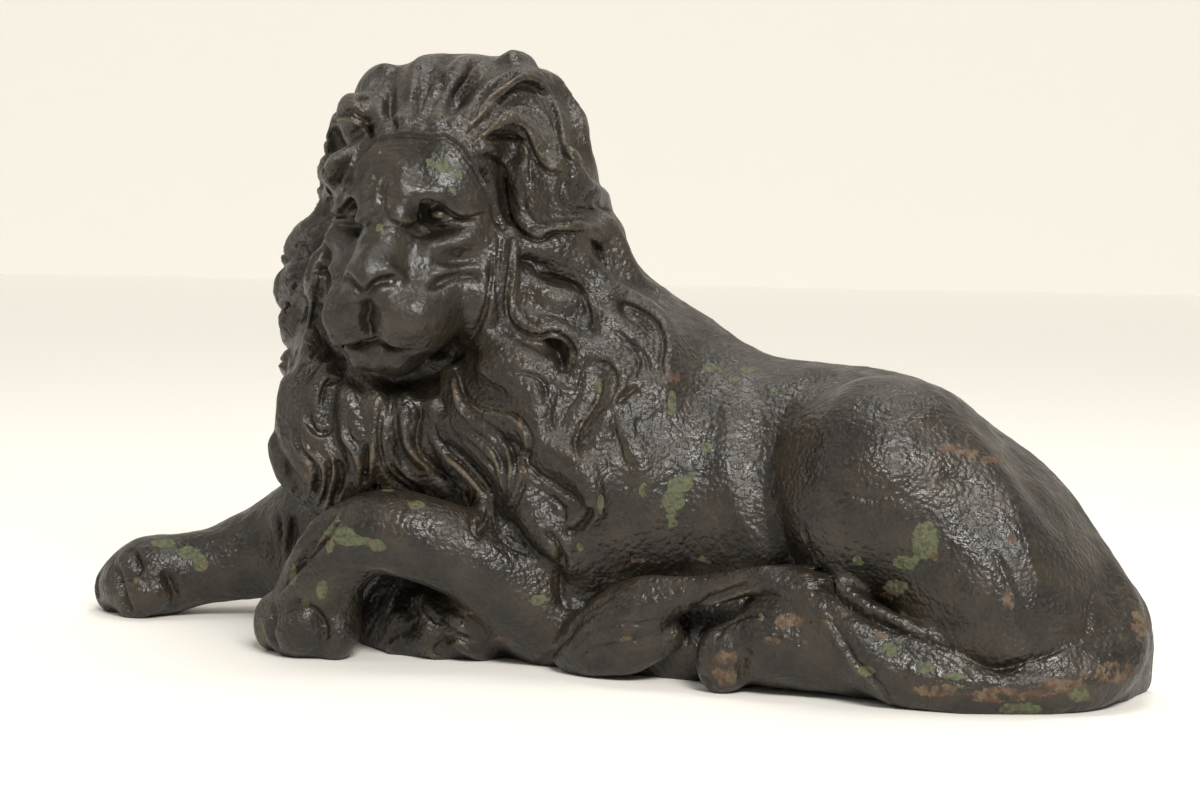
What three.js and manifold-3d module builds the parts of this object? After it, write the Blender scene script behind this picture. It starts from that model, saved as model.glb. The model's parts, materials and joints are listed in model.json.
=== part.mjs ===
// A cast iron doorstop: a lion lying down, its head turned to look out to one side.
// It is a half-round casting. The back is flat, so that it stands against a door or a wall.
// Millimetres. +X runs from the forepaws to the rump, +Y to the flat back, +Z up.
import * as THREE from "three";
import { SimplifyModifier } from "three/addons/modifiers/SimplifyModifier.js";
import Module from "manifold-3d";

// Driving sizes
const LENGTH = 403;
const DEPTH = 102;
const HEIGHT = 215;

// The forms are drawn with the flat back at this Y. The finished casting is centred afterwards.
const BACK_Y = 50;

// Spacing of the surface's sampling lines: fine over the head and mane, wide over the smooth body.
const FINE = 2.5;
const WIDE = 4;
const FINE_SPAN = [-125, 40];

// The sampled box goes this far past the drawn casting, so that the surface closes inside it.
const MARGIN = 14;
const BELOW = 30;

const FACETS = 9600;

const v3 = (x, y, z) => new THREE.Vector3(x, y, z);
const deg = THREE.MathUtils.degToRad;

// Forms. Each is a function that gives a point's distance to its surface, negative inside.

// An ellipsoid. turn is [about X, about Y, about Z] in degrees.
function ball(centre, radii, turn = [0, 0, 0]) {
  const spin = new THREE.Euler(deg(turn[0]), deg(turn[1]), deg(turn[2]), "ZYX");
  const m = new THREE.Matrix4().makeRotationFromEuler(spin).invert().elements;
  const [rx, ry, rz] = radii;
  return (x, y, z) => {
    const dx = x - centre[0];
    const dy = y - centre[1];
    const dz = z - centre[2];
    const px = (m[0] * dx + m[4] * dy + m[8] * dz) / rx;
    const py = (m[1] * dx + m[5] * dy + m[9] * dz) / ry;
    const pz = (m[2] * dx + m[6] * dy + m[10] * dz) / rz;
    const k0 = Math.hypot(px, py, pz);
    const k1 = Math.hypot(px / rx, py / ry, pz / rz);
    return k1 < 1e-9 ? -Math.min(rx, ry, rz) : (k0 * (k0 - 1)) / k1;
  };
}

// A rounded limb along a smooth curve. Each station is [x, y, z, radius].
function limb(stations, steps = 6 * (stations.length - 1)) {
  const places = stations.map((s) => v3(s[0], s[1], s[2]));
  const path = new THREE.CatmullRomCurve3(places, false, "centripetal");
  const girth = new THREE.SplineCurve(stations.map((s, i) => new THREE.Vector2(i, s[3])));
  const thinnest = 0.5;
  const beads = Array.from({ length: steps + 1 }, (_, i) => {
    const p = path.getPoint(i / steps);
    return [p.x, p.y, p.z, Math.max(thinnest, girth.getPoint(i / steps).y)];
  });
  const [mx, my, mz] = beads[Math.floor(steps / 2)];
  const reach = Math.max(...beads.map((b) => Math.hypot(b[0] - mx, b[1] - my, b[2] - mz) + b[3]));
  const clear = 25;
  return (x, y, z) => {
    const away = Math.hypot(x - mx, y - my, z - mz) - reach;
    if (away > clear) return away;
    let best = Infinity;
    for (let i = 0; i < steps; i++) {
      const a = beads[i];
      const b = beads[i + 1];
      const ux = b[0] - a[0];
      const uy = b[1] - a[1];
      const uz = b[2] - a[2];
      const along = (x - a[0]) * ux + (y - a[1]) * uy + (z - a[2]) * uz;
      const t = Math.min(1, Math.max(0, along / (ux * ux + uy * uy + uz * uz)));
      const d = Math.hypot(x - a[0] - t * ux, y - a[1] - t * uy, z - a[2] - t * uz);
      best = Math.min(best, d - a[3] - t * (b[3] - a[3]));
    }
    return best;
  };
}

// Joins b to a with a fillet about as wide as k.
function blend(a, b, k) {
  const h = Math.max(0, k - Math.abs(a - b)) / k;
  return Math.min(a, b) - (h * h * k) / 4;
}

// The trunk: upright half ellipses strung along the spine, their centres on the flat back.
const TRUNK = [
  { x: -100, top: 110, bottom: 0, depth: 44 },
  { x: -50, top: 128, bottom: -4, depth: 62 },
  { x: 0, top: 134, bottom: -4, depth: 66 },
  { x: 32, top: 122, bottom: -2, depth: 64 },
  { x: 60, top: 107, bottom: 0, depth: 58 },
  { x: 98, top: 105, bottom: 0, depth: 56 },
  { x: 123, top: 99, bottom: -8, depth: 60 },
  { x: 145, top: 85, bottom: -12, depth: 62 },
  { x: 166, top: 69, bottom: -16, depth: 58 },
  { x: 182, top: 48, bottom: -16, depth: 50 },
  { x: 189, top: 37, bottom: -14, depth: 44 },
];

function trunk() {
  const ends = [TRUNK[0].x, TRUNK[TRUNK.length - 1].x];
  const stations = 90;
  const cap = 12;
  const rows = ["top", "bottom", "depth"].map((key) =>
    new THREE.SplineCurve(TRUNK.map((s) => new THREE.Vector2(s.x, s[key]))).getPoints(stations));
  const read = (row, x) => {
    let i = 0;
    while (i < row.length - 2 && row[i + 1].x < x) i++;
    return THREE.MathUtils.mapLinear(x, row[i].x, row[i + 1].x, row[i].y, row[i + 1].y);
  };
  return (x, y, z) => {
    const at = THREE.MathUtils.clamp(x, ...ends);
    const [top, bottom, depth] = rows.map((row) => read(row, at));
    const tall = (top - bottom) / 2;
    const least = Math.min(tall, depth);
    const past = Math.abs(x - at) / Math.min(least, cap);
    return (Math.hypot(past, (y - BACK_Y) / depth, (z - bottom - tall) / tall) - 1) * least;
  };
}

// Masses, from the ground up. Each row is [form, fillet].
function body() {
  return [
    [trunk(), 1],
    [ball([117, 17, 66], [39, 43, 38.5], [0, 40, 0]), 2],
    [ball([152, 22, 43], [38, 39, 26], [0, 42, 0]), 18],
    [ball([14, 14, 56], [40, 38, 44]), 16],
    [ball([40, 8, 8], [78, 24, 26]), 8],
  ];
}

function mane() {
  return [
    [ball([-75, 40, 92], [46, 60, 63]), 10],
    [ball([-61, 40, 167], [50.5, 39, 47]), 12],
    [ball([-17, 19, 163], [14, 15, 23], [0, -8, 0]), 8],
    [ball([-82, 38, 126], [48, 32, 38]), 12],
    [ball([-24, 40, 126], [31, 43, 42]), 14],
    [ball([-14, 22, 84], [40, 42, 48]), 14],
    [ball([-74, -4, 74], [36, 26, 32]), 12],
    [ball([-36, -8, 10], [34, 18, 15], [0, -14, 0]), 3],
    [ball([-62, 4, 8], [22, 18, 22]), 3],
  ];
}

function foreleg() {
  return [
    [limb([[2, -8, 17, 18], [-20, -26, 37, 15], [-39, -34, 45, 15], [-54, -38, 45, 14], [-68, -38, 34, 14],
      [-76, -36, 20, 15], [-79, -35, 12, 14]]), 4],
    [ball([-78, -34, 11], [17, 14, 13]), 4],
    ...toes([[-93, -36, 10], [-80, -42, 10], [-66, -40, 9]], [[8, 8, 11], [12, 10, 11], [8, 8, 10]]),
    [limb([[-104, 34, 34, 28], [-135, 30, 25, 18.5], [-156, 18, 18, 14], [-177, 8, 15, 14]]), 6],
    [ball([-174, 8, 14], [19, 16, 15]), 4],
    ...toes([[-175, -3, 9], [-189, 4, 9], [-190, 15, 9], [-180, 25, 9]],
      [[10.5, 8.5, 11], [9.5, 7.5, 11], [8.5, 6.5, 10], [8, 6, 10]]),
  ];
}

const toes = (places, sizes) => places.map((place, i) => [ball(place, sizes[i]), 1.5]);

function hindleg() {
  return [
    [limb([[148, -8, 11, 12], [112, -14, 15, 14], [92, -17, 18, 16.5]]), 3],
    ...toes([[75, -27, 11], [77, -15, 11]], [[9.5, 9, 12], [9, 8, 12]]),
    [ball([105, -7, 36], [12, 12, 9]), 6],
    [limb([[108, -14, 34, 4], [126, -20, 28, 5], [142, -20, 20, 5], [161, -14, 15, 5], [175, -7, 14, 4],
      [185, 2, 18, 4]]), 5],
    [limb([[140, 4, 84, 4], [153, 4, 72, 8], [163, 1, 56, 8], [168, -3, 42, 7], [170, -6, 29, 6],
      [168, -8, 20, 5]]), 8],
  ];
}

function tail() {
  return [
    [limb([[182, 41, 42, 7], [190, 34, 30, 9], [194, 23, 16, 11], [186, 5, 10, 11], [169, -8, 8, 10],
      [151, -16, 8, 10], [133, -21, 11, 10], [121, -23, 20, 9.5], [112, -24, 28, 8], [104, -24, 35, 6.5],
      [94, -23, 39, 5], [81, -23, 37, 4.5], [68, -24, 33, 5]]), 1.5],
    [limb([[68, -24, 33, 5], [57, -24, 31, 6], [44, -24, 25, 11], [33, -24, 18, 11], [22, -22, 11, 9],
      [14, -20, 5, 5]]), 1.5],
    [limb([[54, -22, 16, 5], [42, -24, 10, 7], [28, -25, 6, 6], [16, -22, 4, 4]]), 1],
  ];
}

// The head has its own frame: across to the lion's left, out of the face, and up.
const FACE = { x: -55, y: 0, z: 148, turn: 4 };

function onFace([across, out, up]) {
  const [c, s] = [Math.cos(deg(FACE.turn)), Math.sin(deg(FACE.turn))];
  return [FACE.x + across * c + out * s, FACE.y + across * s - out * c, FACE.z + up];
}

const faceBall = (centre, radii, nod = 0) => ball(onFace(centre), radii, [nod, 0, FACE.turn]);
const faceLimb = (stations) => limb(stations.map((s) => [...onFace(s), s[3]]));
const bothSides = (make) => [make(1), make(-1)];

function head() {
  return [
    [faceBall([0, -8, 4], [33, 34, 38]), 2],
    ...bothSides((m) => [faceBall([m * 12, 10, 22], [17, 15, 15]), 8]),
    ...bothSides((m) => [faceBall([m * 34, -6, 32], [9, 8, 11]), 3]),
    ...bothSides((m) => [faceBall([m * 26, -3, 37], [9, 10, 9]), 6]),
    [faceLimb([[0, 20, 16, 12], [0, 27, 2, 10], [0, 38, -13, 9]]), 6],
    [faceLimb([[-5, 40, -15, 5], [0, 42, -16, 6], [5, 40, -15, 5]]), 3],
    ...bothSides((m) => [faceBall([m * 12, 29, -28], [14, 15, 13]), 5]),
    [faceBall([0, 27, -41], [13, 11, 9]), 4],
    ...bothSides((m) => [faceBall([m * 24, 4, -14], [12, 20, 22]), 8]),
    ...bothSides((m) => [faceLimb([[m * 19, 16, -2, 9], [m * 15, 23, -10, 10], [m * 16, 25, -22, 10]]), 5]),
    ...bothSides((m) => [faceLimb([[m * 7, 23, 12, 5], [m * 17, 22, 16, 5], [m * 27, 12, 11, 5]]), 4]),
  ];
}

// Hollows, cut into the masses. Each row is [form, fillet].
function sockets() {
  return [
    ...bothSides((m) => [faceBall([m * 17, 26, 6], [9, 9, 6]), 4]),
    ...bothSides((m) => [faceBall([m * 35, 4, 32], [5.5, 8, 7]), 3]),
  ];
}

function eyes() {
  return bothSides((m) => [faceBall([m * 18, 17, 7], [6.5, 6, 5]), 2]);
}

function fieldOf(masses, hollows, fillings) {
  return (x, y, z) => {
    let d = masses[0][0](x, y, z);
    for (const [form, fillet] of masses.slice(1)) d = blend(d, form(x, y, z), fillet);
    for (const [form, fillet] of hollows) d = -blend(-d, form(x, y, z), fillet);
    for (const [form, fillet] of fillings) d = blend(d, form(x, y, z), fillet);
    return d;
  };
}

// Carving is drawn on boards that stand in front of the casting, and is then draped over it.
const BOARDS = {
  front: { azimuth: 25, elevation: 0 },
  side: { azimuth: -65, elevation: 5 },
};

function boardAxes({ azimuth, elevation }) {
  const [ca, sa] = [Math.cos(deg(azimuth)), Math.sin(deg(azimuth))];
  const [ce, se] = [Math.cos(deg(elevation)), Math.sin(deg(elevation))];
  return { right: v3(ca, sa, 0), up: v3(-sa * se, ca * se, ce), into: v3(-sa * ce, ca * ce, -se) };
}

// The point where a line from the board first meets the form, and the form's outward direction there.
// The line moves on by a share of the distance that is left, until it is as good as touching.
function drop(field, board, across, up) {
  const { right, up: rise, into } = boardAxes(board);
  const reach = 160;
  const touching = 0.05;
  const leastStride = 0.3;
  const share = 0.6;
  const p = right.clone().multiplyScalar(across).addScaledVector(rise, up).addScaledVector(into, -reach);
  let nearest = p.clone();
  let least = Infinity;
  for (let travelled = 0; travelled < 2 * reach; ) {
    const d = field(p.x, p.y, p.z);
    if (d < least) {
      least = d;
      nearest = p.clone();
    }
    if (d < touching) break;
    const stride = Math.max(leastStride, share * d);
    p.addScaledVector(into, stride);
    travelled += stride;
  }
  const apart = 1.5;
  const slope = (axis) => {
    const a = nearest.clone().addScaledVector(axis, apart);
    const b = nearest.clone().addScaledVector(axis, -apart);
    return field(a.x, a.y, a.z) - field(b.x, b.y, b.z);
  };
  const outward = v3(slope(v3(1, 0, 0)), slope(v3(0, 1, 0)), slope(v3(0, 0, 1))).normalize();
  const farthest = 3;
  return { point: nearest.addScaledVector(outward, -Math.max(0, least)), outward, missed: least > farthest };
}

// The points of a stroke on the form, up to where it runs off the form's outline.
function drape(field, board, { root, length, headings }) {
  const spacing = 5;
  const steps = Math.max(5, Math.round(length / spacing));
  const marks = stroke(root, length, headings, steps).map(([across, up]) => drop(field, board, across, up));
  const farthest = 3.5 * spacing;
  const leaps = (m, i) => i > 2 && (m.missed || m.point.distanceTo(marks[i - 1].point) > farthest);
  const end = marks.findIndex(leaps);
  return end < 0 ? marks : marks.slice(0, end);
}

// A line that leaves a root and turns through the given headings, spread evenly along its length.
function stroke(root, length, headings, steps) {
  const points = [root];
  for (let i = 0; i < steps; i++) {
    const at = ((i + 0.5) / steps) * (headings.length - 1);
    const k = Math.min(Math.floor(at), headings.length - 2);
    const heading = deg(THREE.MathUtils.lerp(headings[k], headings[k + 1], at - k));
    const [u, w] = points[i];
    points.push([u + (Math.cos(heading) * length) / steps, w + (Math.sin(heading) * length) / steps]);
  }
  return points;
}

// A lock of hair: full near the root, thin at the tip, its crest standing above the form by rise
// until close to the tip, where it sinks in.
function lock(field, board, row) {
  const { r, rise = 1.05 * r } = row;
  const marks = drape(field, board, row);
  const stations = marks.map(({ point, outward }, i) => {
    const t = i / (marks.length - 1);
    const girth = r * (0.55 + 0.45 * Math.sin(Math.PI * Math.min(1, 0.15 + 1.05 * t)));
    return [...point.clone().addScaledVector(outward, rise * (1 - 0.7 * t ** 4) - girth), girth];
  });
  return limb(stations, 2 * stations.length);
}

// Locks of the mane, drawn on the front board. Headings are in degrees: 0 to the right, 90 up.
const CROWN_LOCKS = [
  { root: [-75, 190], length: 18, headings: [110, 130], r: 5 },
  { root: [-66, 186], length: 24, headings: [96, 100, 110], r: 5 },
  { root: [-56, 185], length: 29, headings: [92, 85, 60], r: 5.5 },
  { root: [-45, 185], length: 31, headings: [85, 70, 48], r: 5.5 },
  { root: [-36, 184], length: 33, headings: [72, 48, 32], r: 5 },
  { root: [-33, 185], length: 80, headings: [62, 54, 28, -20, -62, -78, -62, -20], r: 5, rise: 5.5 },
  { root: [-28, 182], length: 56, headings: [50, 30, -5, -50, -78, -60, -20], r: 4.5, rise: 5.5 },
  { root: [-21, 209], length: 60, headings: [8, -12, -40, -64, -74, -78, -60], r: 6 },
];
const NECK_LOCKS = [
  { root: [-30, 179], length: 62, headings: [14, -20, -70, -86, -72, -40, -5, 12], r: 4.6, rise: 5.5 },
  { root: [-5, 172], length: 42, headings: [-92, -85, -40, 5, 20], r: 6 },
  { root: [1, 176], length: 24, headings: [-85, -60, -20, 15], r: 5.5 },
  { root: [14, 152], length: 28, headings: [-60, -70, -50, -15], r: 6 },
  { root: [-10, 145], length: 50, headings: [-12, -28, -50, -88, -110], r: 6.5 },
  { root: [-12, 134], length: 38, headings: [-70, -30, 10, -45, -110], r: 5.5 },
  { root: [-21, 147], length: 64, headings: [-92, -88, -68, -30, 0, -60, -115], r: 5.5 },
  { root: [-27, 128], length: 46, headings: [-92, -75, -30, -5, -50], r: 6 },
  { root: [-24, 103], length: 42, headings: [-8, -30, -70, -95, -60], r: 6 },
  { root: [6, 107], length: 54, headings: [20, -10, -70, -115, -130, -95, -35], r: 5.5, rise: 5 },
  { root: [19, 127], length: 48, headings: [-22, -35, -75, -105, -130], r: 6 },
  { root: [14, 118], length: 38, headings: [-10, -45, -85, -135], r: 5.5 },
  { root: [34, 130], length: 50, headings: [-40, -65, -95, -110, -80], r: 5, rise: 2 },
  { root: [24, 94], length: 32, headings: [-110, -80, -50, -100], r: 5, rise: 2.5 },
  { root: [-6, 80], length: 38, headings: [-45, -30, -40, -85, -140], r: 6 },
  { root: [-12, 68], length: 38, headings: [-85, -60, -45, -70], r: 7 },
  { root: [-22, 58], length: 32, headings: [-95, -62, -25, -5], r: 5 },
];
const BEARD_LOCKS = [
  { root: [-38, 100], length: 56, headings: [-80, -50, 2, -25, -70, -98], r: 5 },
  { root: [-36, 82], length: 46, headings: [-15, -35, -65, -88, -95], r: 5.5 },
  { root: [-44, 88], length: 46, headings: [-78, -55, -45, -70], r: 5 },
  { root: [-54, 90], length: 42, headings: [-88, -72, -50, -45], r: 5 },
  { root: [-64, 91], length: 38, headings: [-90, -86, -70, -52], r: 5 },
  { root: [-74, 91], length: 36, headings: [-86, -72, -85, -110], r: 5 },
  { root: [-81, 99], length: 46, headings: [-118, -108, -70, -40, -60], r: 5 },
  { root: [-88, 101], length: 58, headings: [-120, -95, -75, -45, -60, -100], r: 5 },
  { root: [-96, 94], length: 54, headings: [-98, -82, -50, -60, -105], r: 5 },
  { root: [-100, 72], length: 38, headings: [-80, -60, -75, -115], r: 5 },
];
const CHEEK_LOCKS = [
  { root: [-78, 172], length: 44, headings: [-125, -115, -105, -100], r: 4.5 },
  { root: [-85, 140], length: 42, headings: [-100, -95, -105], r: 5 },
];

const MOUND_LOCKS = [
  { root: [-58, 27], length: 28, headings: [-140, -120, -95], r: 4 },
  { root: [-52, 24], length: 26, headings: [-120, -105, -70], r: 4 },
  { root: [-44, 20], length: 24, headings: [-100, -75, -40], r: 4 },
  { root: [-35, 15], length: 20, headings: [-70, -50, -20], r: 4 },
];

// The far side of the mane: plain curls that sweep back from the cheek, one above another.
const SIDE_CURLS = [190, 173, 156, 132, 115, 98, 82, 66];
const SIDE_LOCKS = SIDE_CURLS.map((height) => ({
  root: [-60, height + 8],
  length: 37,
  headings: [-170, -145, -140, -178],
  r: 6,
}));

const locksOf = (field, board, rows) => rows.map((row) => [lock(field, board, row), 1.5]);

// Deep lines between the face, the mane and the limbs. r is half their width, depth how far they go in.
const GROOVES = [
  { root: [-64, 99], length: 32, headings: [-20, 10, 30, 45], r: 5, depth: 4.5 },
  { root: [-4, 113], length: 9, headings: [-20, -70], r: 3.5, depth: 3.5 },
];

function groove(field, board, row) {
  const marks = drape(field, board, row);
  const stations = marks.map(({ point, outward }, i) => {
    const girth = row.r * (0.5 + 0.5 * Math.sin((Math.PI * i) / (marks.length - 1)));
    return [...point.clone().addScaledVector(outward, girth - row.depth), girth];
  });
  return limb(stations, 2 * stations.length);
}

function carving(field) {
  return [
    ...locksOf(field, BOARDS.front, CROWN_LOCKS),
    ...locksOf(field, BOARDS.front, NECK_LOCKS),
    ...locksOf(field, BOARDS.front, BEARD_LOCKS),
    ...locksOf(field, BOARDS.front, CHEEK_LOCKS),
    ...locksOf(field, BOARDS.front, MOUND_LOCKS),
    ...locksOf(field, BOARDS.side, SIDE_LOCKS),
  ];
}

const PLAIN = fieldOf([...body(), ...mane(), ...head()], [], []);
const MASSES = [...body(), ...mane(), ...carving(PLAIN), ...foreleg(), ...hindleg(), ...tail(), ...head()];
const CUTS = GROOVES.map((row) => [groove(PLAIN, BOARDS.front, row), 2]);
const lionField = fieldOf(MASSES, [...sockets(), ...CUTS], eyes());

// Sampling lines along one axis, from low to high, as far apart as step(value) says.
function lines(low, high, step) {
  const out = [low];
  while (out[out.length - 1] < high) out.push(out[out.length - 1] + step(out[out.length - 1]));
  return out;
}

// The surface of a field on a box of sampling lines: one vertex in each cell that it crosses.
function skin(field, xs, ys, zs) {
  const [nx, ny, nz] = [xs.length, ys.length, zs.length];
  const at = (i, j, k) => i + nx * (j + ny * k);
  const values = new Float64Array(nx * ny * nz);
  for (let k = 0; k < nz; k++)
    for (let j = 0; j < ny; j++)
      for (let i = 0; i < nx; i++) {
        const rim = i === 0 || j === 0 || k === 0 || i === nx - 1 || j === ny - 1 || k === nz - 1;
        values[at(i, j, k)] = rim ? 1 : field(xs[i], ys[j], zs[k]);
      }
  fillPinches(values, nx, ny, nz, at);
  const positions = [];
  const cellVertex = new Map();
  const corner = (i, j, k, c) => [i + (c & 1), j + ((c >> 1) & 1), k + ((c >> 2) & 1)];
  for (let k = 0; k < nz - 1; k++)
    for (let j = 0; j < ny - 1; j++)
      for (let i = 0; i < nx - 1; i++) {
        const sum = v3(0, 0, 0);
        let crossings = 0;
        for (let c = 0; c < 8; c++)
          for (const bit of [1, 2, 4]) {
            if (c & bit) continue;
            const [ai, aj, ak] = corner(i, j, k, c);
            const [bi, bj, bk] = corner(i, j, k, c | bit);
            const va = values[at(ai, aj, ak)];
            const vb = values[at(bi, bj, bk)];
            if (va < 0 === vb < 0) continue;
            const t = va / (va - vb);
            sum.x += xs[ai] + t * (xs[bi] - xs[ai]);
            sum.y += ys[aj] + t * (ys[bj] - ys[aj]);
            sum.z += zs[ak] + t * (zs[bk] - zs[ak]);
            crossings++;
          }
        if (!crossings) continue;
        cellVertex.set(at(i, j, k), positions.length / 3);
        positions.push(sum.x / crossings, sum.y / crossings, sum.z / crossings);
      }
  const faces = [];
  const quad = (a, b, c, d) => faces.push(a, b, c, a, c, d);
  for (let k = 1; k < nz - 1; k++)
    for (let j = 1; j < ny - 1; j++)
      for (let i = 1; i < nx - 1; i++) {
        const here = values[at(i, j, k)] < 0;
        const cell = (a, b, c) => cellVertex.get(at(i - a, j - b, k - c));
        const ring = [
          [at(i + 1, j, k), [cell(0, 1, 1), cell(0, 0, 1), cell(0, 0, 0), cell(0, 1, 0)]],
          [at(i, j + 1, k), [cell(1, 0, 1), cell(1, 0, 0), cell(0, 0, 0), cell(0, 0, 1)]],
          [at(i, j, k + 1), [cell(1, 1, 0), cell(0, 1, 0), cell(0, 0, 0), cell(1, 0, 0)]],
        ];
        for (const [next, q] of ring) {
          if (here === values[next] < 0) continue;
          quad(...(here ? q : q.reverse()));
        }
      }
  return { positions: new Float32Array(positions), faces: new Uint32Array(faces) };
}

// Draws each vertex part of the way to the middle of its neighbours.
function relax({ positions, faces }, passes, pull) {
  for (let pass = 0; pass < passes; pass++) {
    const sums = new Float64Array(positions.length);
    const counts = new Uint32Array(positions.length / 3);
    for (let f = 0; f < faces.length; f += 3)
      for (let e = 0; e < 3; e++) {
        const a = faces[f + e];
        const b = faces[f + ((e + 1) % 3)];
        counts[a] += 1;
        for (let k = 0; k < 3; k++) sums[3 * a + k] += positions[3 * b + k];
      }
    for (let i = 0; i < positions.length; i++)
      positions[i] += pull * (sums[i] / counts[Math.floor(i / 3)] - positions[i]);
  }
  return { positions, faces };
}

// Fills a corner of each cell face that is inside at two opposite corners only. A surface would touch
// itself there.
function fillPinches(values, nx, ny, nz, at) {
  const justInside = -1e-3;
  const inside = (n) => values[n] < 0;
  const sides = [[[1, 0, 0], [0, 1, 0]], [[0, 1, 0], [0, 0, 1]], [[0, 0, 1], [1, 0, 0]]];
  for (let changed = true; changed; ) {
    changed = false;
    for (let k = 1; k < nz - 1; k++)
      for (let j = 1; j < ny - 1; j++)
        for (let i = 1; i < nx - 1; i++)
          for (const [u, w] of sides) {
            const a = at(i, j, k);
            const b = at(i + u[0], j + u[1], k + u[2]);
            const c = at(i + w[0], j + w[1], k + w[2]);
            const d = at(i + u[0] + w[0], j + u[1] + w[1], k + u[2] + w[2]);
            if (inside(a) !== inside(d) || inside(b) !== inside(c) || inside(a) === inside(b)) continue;
            values[inside(a) ? b : a] = justInside;
            changed = true;
          }
  }
}

const wasm = await Module();
wasm.setup();

const solidOf = ({ positions, faces }) =>
  new wasm.Manifold(new wasm.Mesh({ numProp: 3, vertProperties: positions, triVerts: faces }));

// Cuts the casting flat behind and below.
function cutFlat(solid) {
  const room = new THREE.BoxGeometry(2 * LENGTH, 2 * DEPTH, 2 * HEIGHT).toNonIndexed();
  room.translate(0, BACK_Y - DEPTH, HEIGHT);
  const p = room.getAttribute("position");
  const keys = new Map();
  const positions = [];
  const faces = [];
  for (let i = 0; i < p.count; i++) {
    const key = [p.getX(i), p.getY(i), p.getZ(i)].join();
    if (!keys.has(key)) {
      keys.set(key, keys.size);
      positions.push(p.getX(i), p.getY(i), p.getZ(i));
    }
    faces.push(keys.get(key));
  }
  return solid.intersect(solidOf({ positions: new Float32Array(positions), faces: new Uint32Array(faces) }));
}

function geometryOf(solid) {
  const mesh = solid.getMesh();
  const geometry = new THREE.BufferGeometry();
  geometry.setAttribute("position", new THREE.BufferAttribute(mesh.vertProperties, 3));
  geometry.setIndex(new THREE.BufferAttribute(mesh.triVerts, 1));
  return geometry;
}

const spacing = (x) => (x > FINE_SPAN[0] && x < FINE_SPAN[1] ? FINE : WIDE);
const xs = lines(-LENGTH / 2 - MARGIN, LENGTH / 2 + MARGIN, spacing);
const ys = lines(-DEPTH / 2 - MARGIN, BACK_Y + MARGIN, () => FINE);
const zs = lines(-BELOW, HEIGHT + MARGIN, () => FINE);

// Fewer and larger facets where the casting is smooth. Normals make the thinning keep the carving.
async function thin(geometry, facets) {
  geometry.computeVertexNormals();
  const extra = geometry.getAttribute("position").count - facets / 2;
  const thinned = await new SimplifyModifier().modify(geometry, extra);
  thinned.deleteAttribute("normal");
  return thinned;
}

// Brings the drawn casting to the driving sizes, the middle of its underside's outline at the origin.
function fitted(geometry) {
  geometry.computeBoundingBox();
  const { min, max } = geometry.boundingBox;
  geometry.translate(-(min.x + max.x) / 2, -(min.y + max.y) / 2, -min.z);
  return geometry.scale(LENGTH / (max.x - min.x), DEPTH / (max.y - min.y), HEIGHT / (max.z - min.z));
}

// Solid metal all through: of the closed surfaces that the field has, the outermost.
function outermost(solid) {
  return solid.decompose().reduce((a, b) => (b.volume() > a.volume() ? b : a));
}

const drawn = relax(skin(lionField, xs, ys, zs), 1, 0.5);
const casting = geometryOf(cutFlat(outermost(solidOf(drawn))));
const lion = new THREE.Mesh(
  fitted(await thin(casting, FACETS)),
  new THREE.MeshStandardMaterial({ color: 0x2b2724, roughness: 0.5, metalness: 0.6 }),
);
lion.name = "lion";

const doorstop = new THREE.Group();
doorstop.add(lion);

export default doorstop;
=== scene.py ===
# A cast iron lion doorstop in thick black paint, worn through to old green paint and rust.
import json
import math
import bpy
import numpy as np
from mathutils import Matrix, Vector, noise
from mathutils.bvhtree import BVHTree

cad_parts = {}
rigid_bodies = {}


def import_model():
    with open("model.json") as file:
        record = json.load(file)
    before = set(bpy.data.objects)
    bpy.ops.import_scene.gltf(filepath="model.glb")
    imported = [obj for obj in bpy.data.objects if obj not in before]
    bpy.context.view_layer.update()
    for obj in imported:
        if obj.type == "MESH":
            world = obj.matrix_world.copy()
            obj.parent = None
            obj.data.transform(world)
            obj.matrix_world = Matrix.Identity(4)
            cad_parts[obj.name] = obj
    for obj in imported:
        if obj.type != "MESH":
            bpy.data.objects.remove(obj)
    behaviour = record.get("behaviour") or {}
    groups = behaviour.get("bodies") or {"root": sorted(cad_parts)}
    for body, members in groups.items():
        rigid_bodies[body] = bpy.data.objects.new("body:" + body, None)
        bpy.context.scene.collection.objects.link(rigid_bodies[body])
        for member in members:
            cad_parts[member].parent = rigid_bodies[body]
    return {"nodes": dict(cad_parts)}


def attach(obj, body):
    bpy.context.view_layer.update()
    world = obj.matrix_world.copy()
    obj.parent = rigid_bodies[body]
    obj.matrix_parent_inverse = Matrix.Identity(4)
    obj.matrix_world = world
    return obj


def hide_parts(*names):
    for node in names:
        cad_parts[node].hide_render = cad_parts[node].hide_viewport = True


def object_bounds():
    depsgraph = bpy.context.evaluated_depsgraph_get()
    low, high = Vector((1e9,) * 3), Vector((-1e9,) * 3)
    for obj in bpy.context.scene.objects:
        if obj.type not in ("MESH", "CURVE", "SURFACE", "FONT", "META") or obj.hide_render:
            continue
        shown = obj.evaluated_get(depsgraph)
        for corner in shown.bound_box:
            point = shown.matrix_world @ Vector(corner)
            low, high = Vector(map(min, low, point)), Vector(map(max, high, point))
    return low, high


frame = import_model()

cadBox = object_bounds()
mm = 0.001
print("frame loaded")

# Camera. Lengths in millimetres, angles in degrees.

view = {
    "azimuth": 25.0,
    "pitch": 4.8,
    "roll": 1.03,
    "height": 171.0,  # above the floor
    "aside": -14.3,
    "away": 931.6,
    "focal": 80.0,
    "sensor": 36.0,
    "farthest": 20.0,  # metres, where the camera's sight ends
    "zero": (-3.38, 1.05),  # the point on the floor that aside and away are counted from
    "frame": (1200, 795),  # the photograph's size
}


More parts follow.
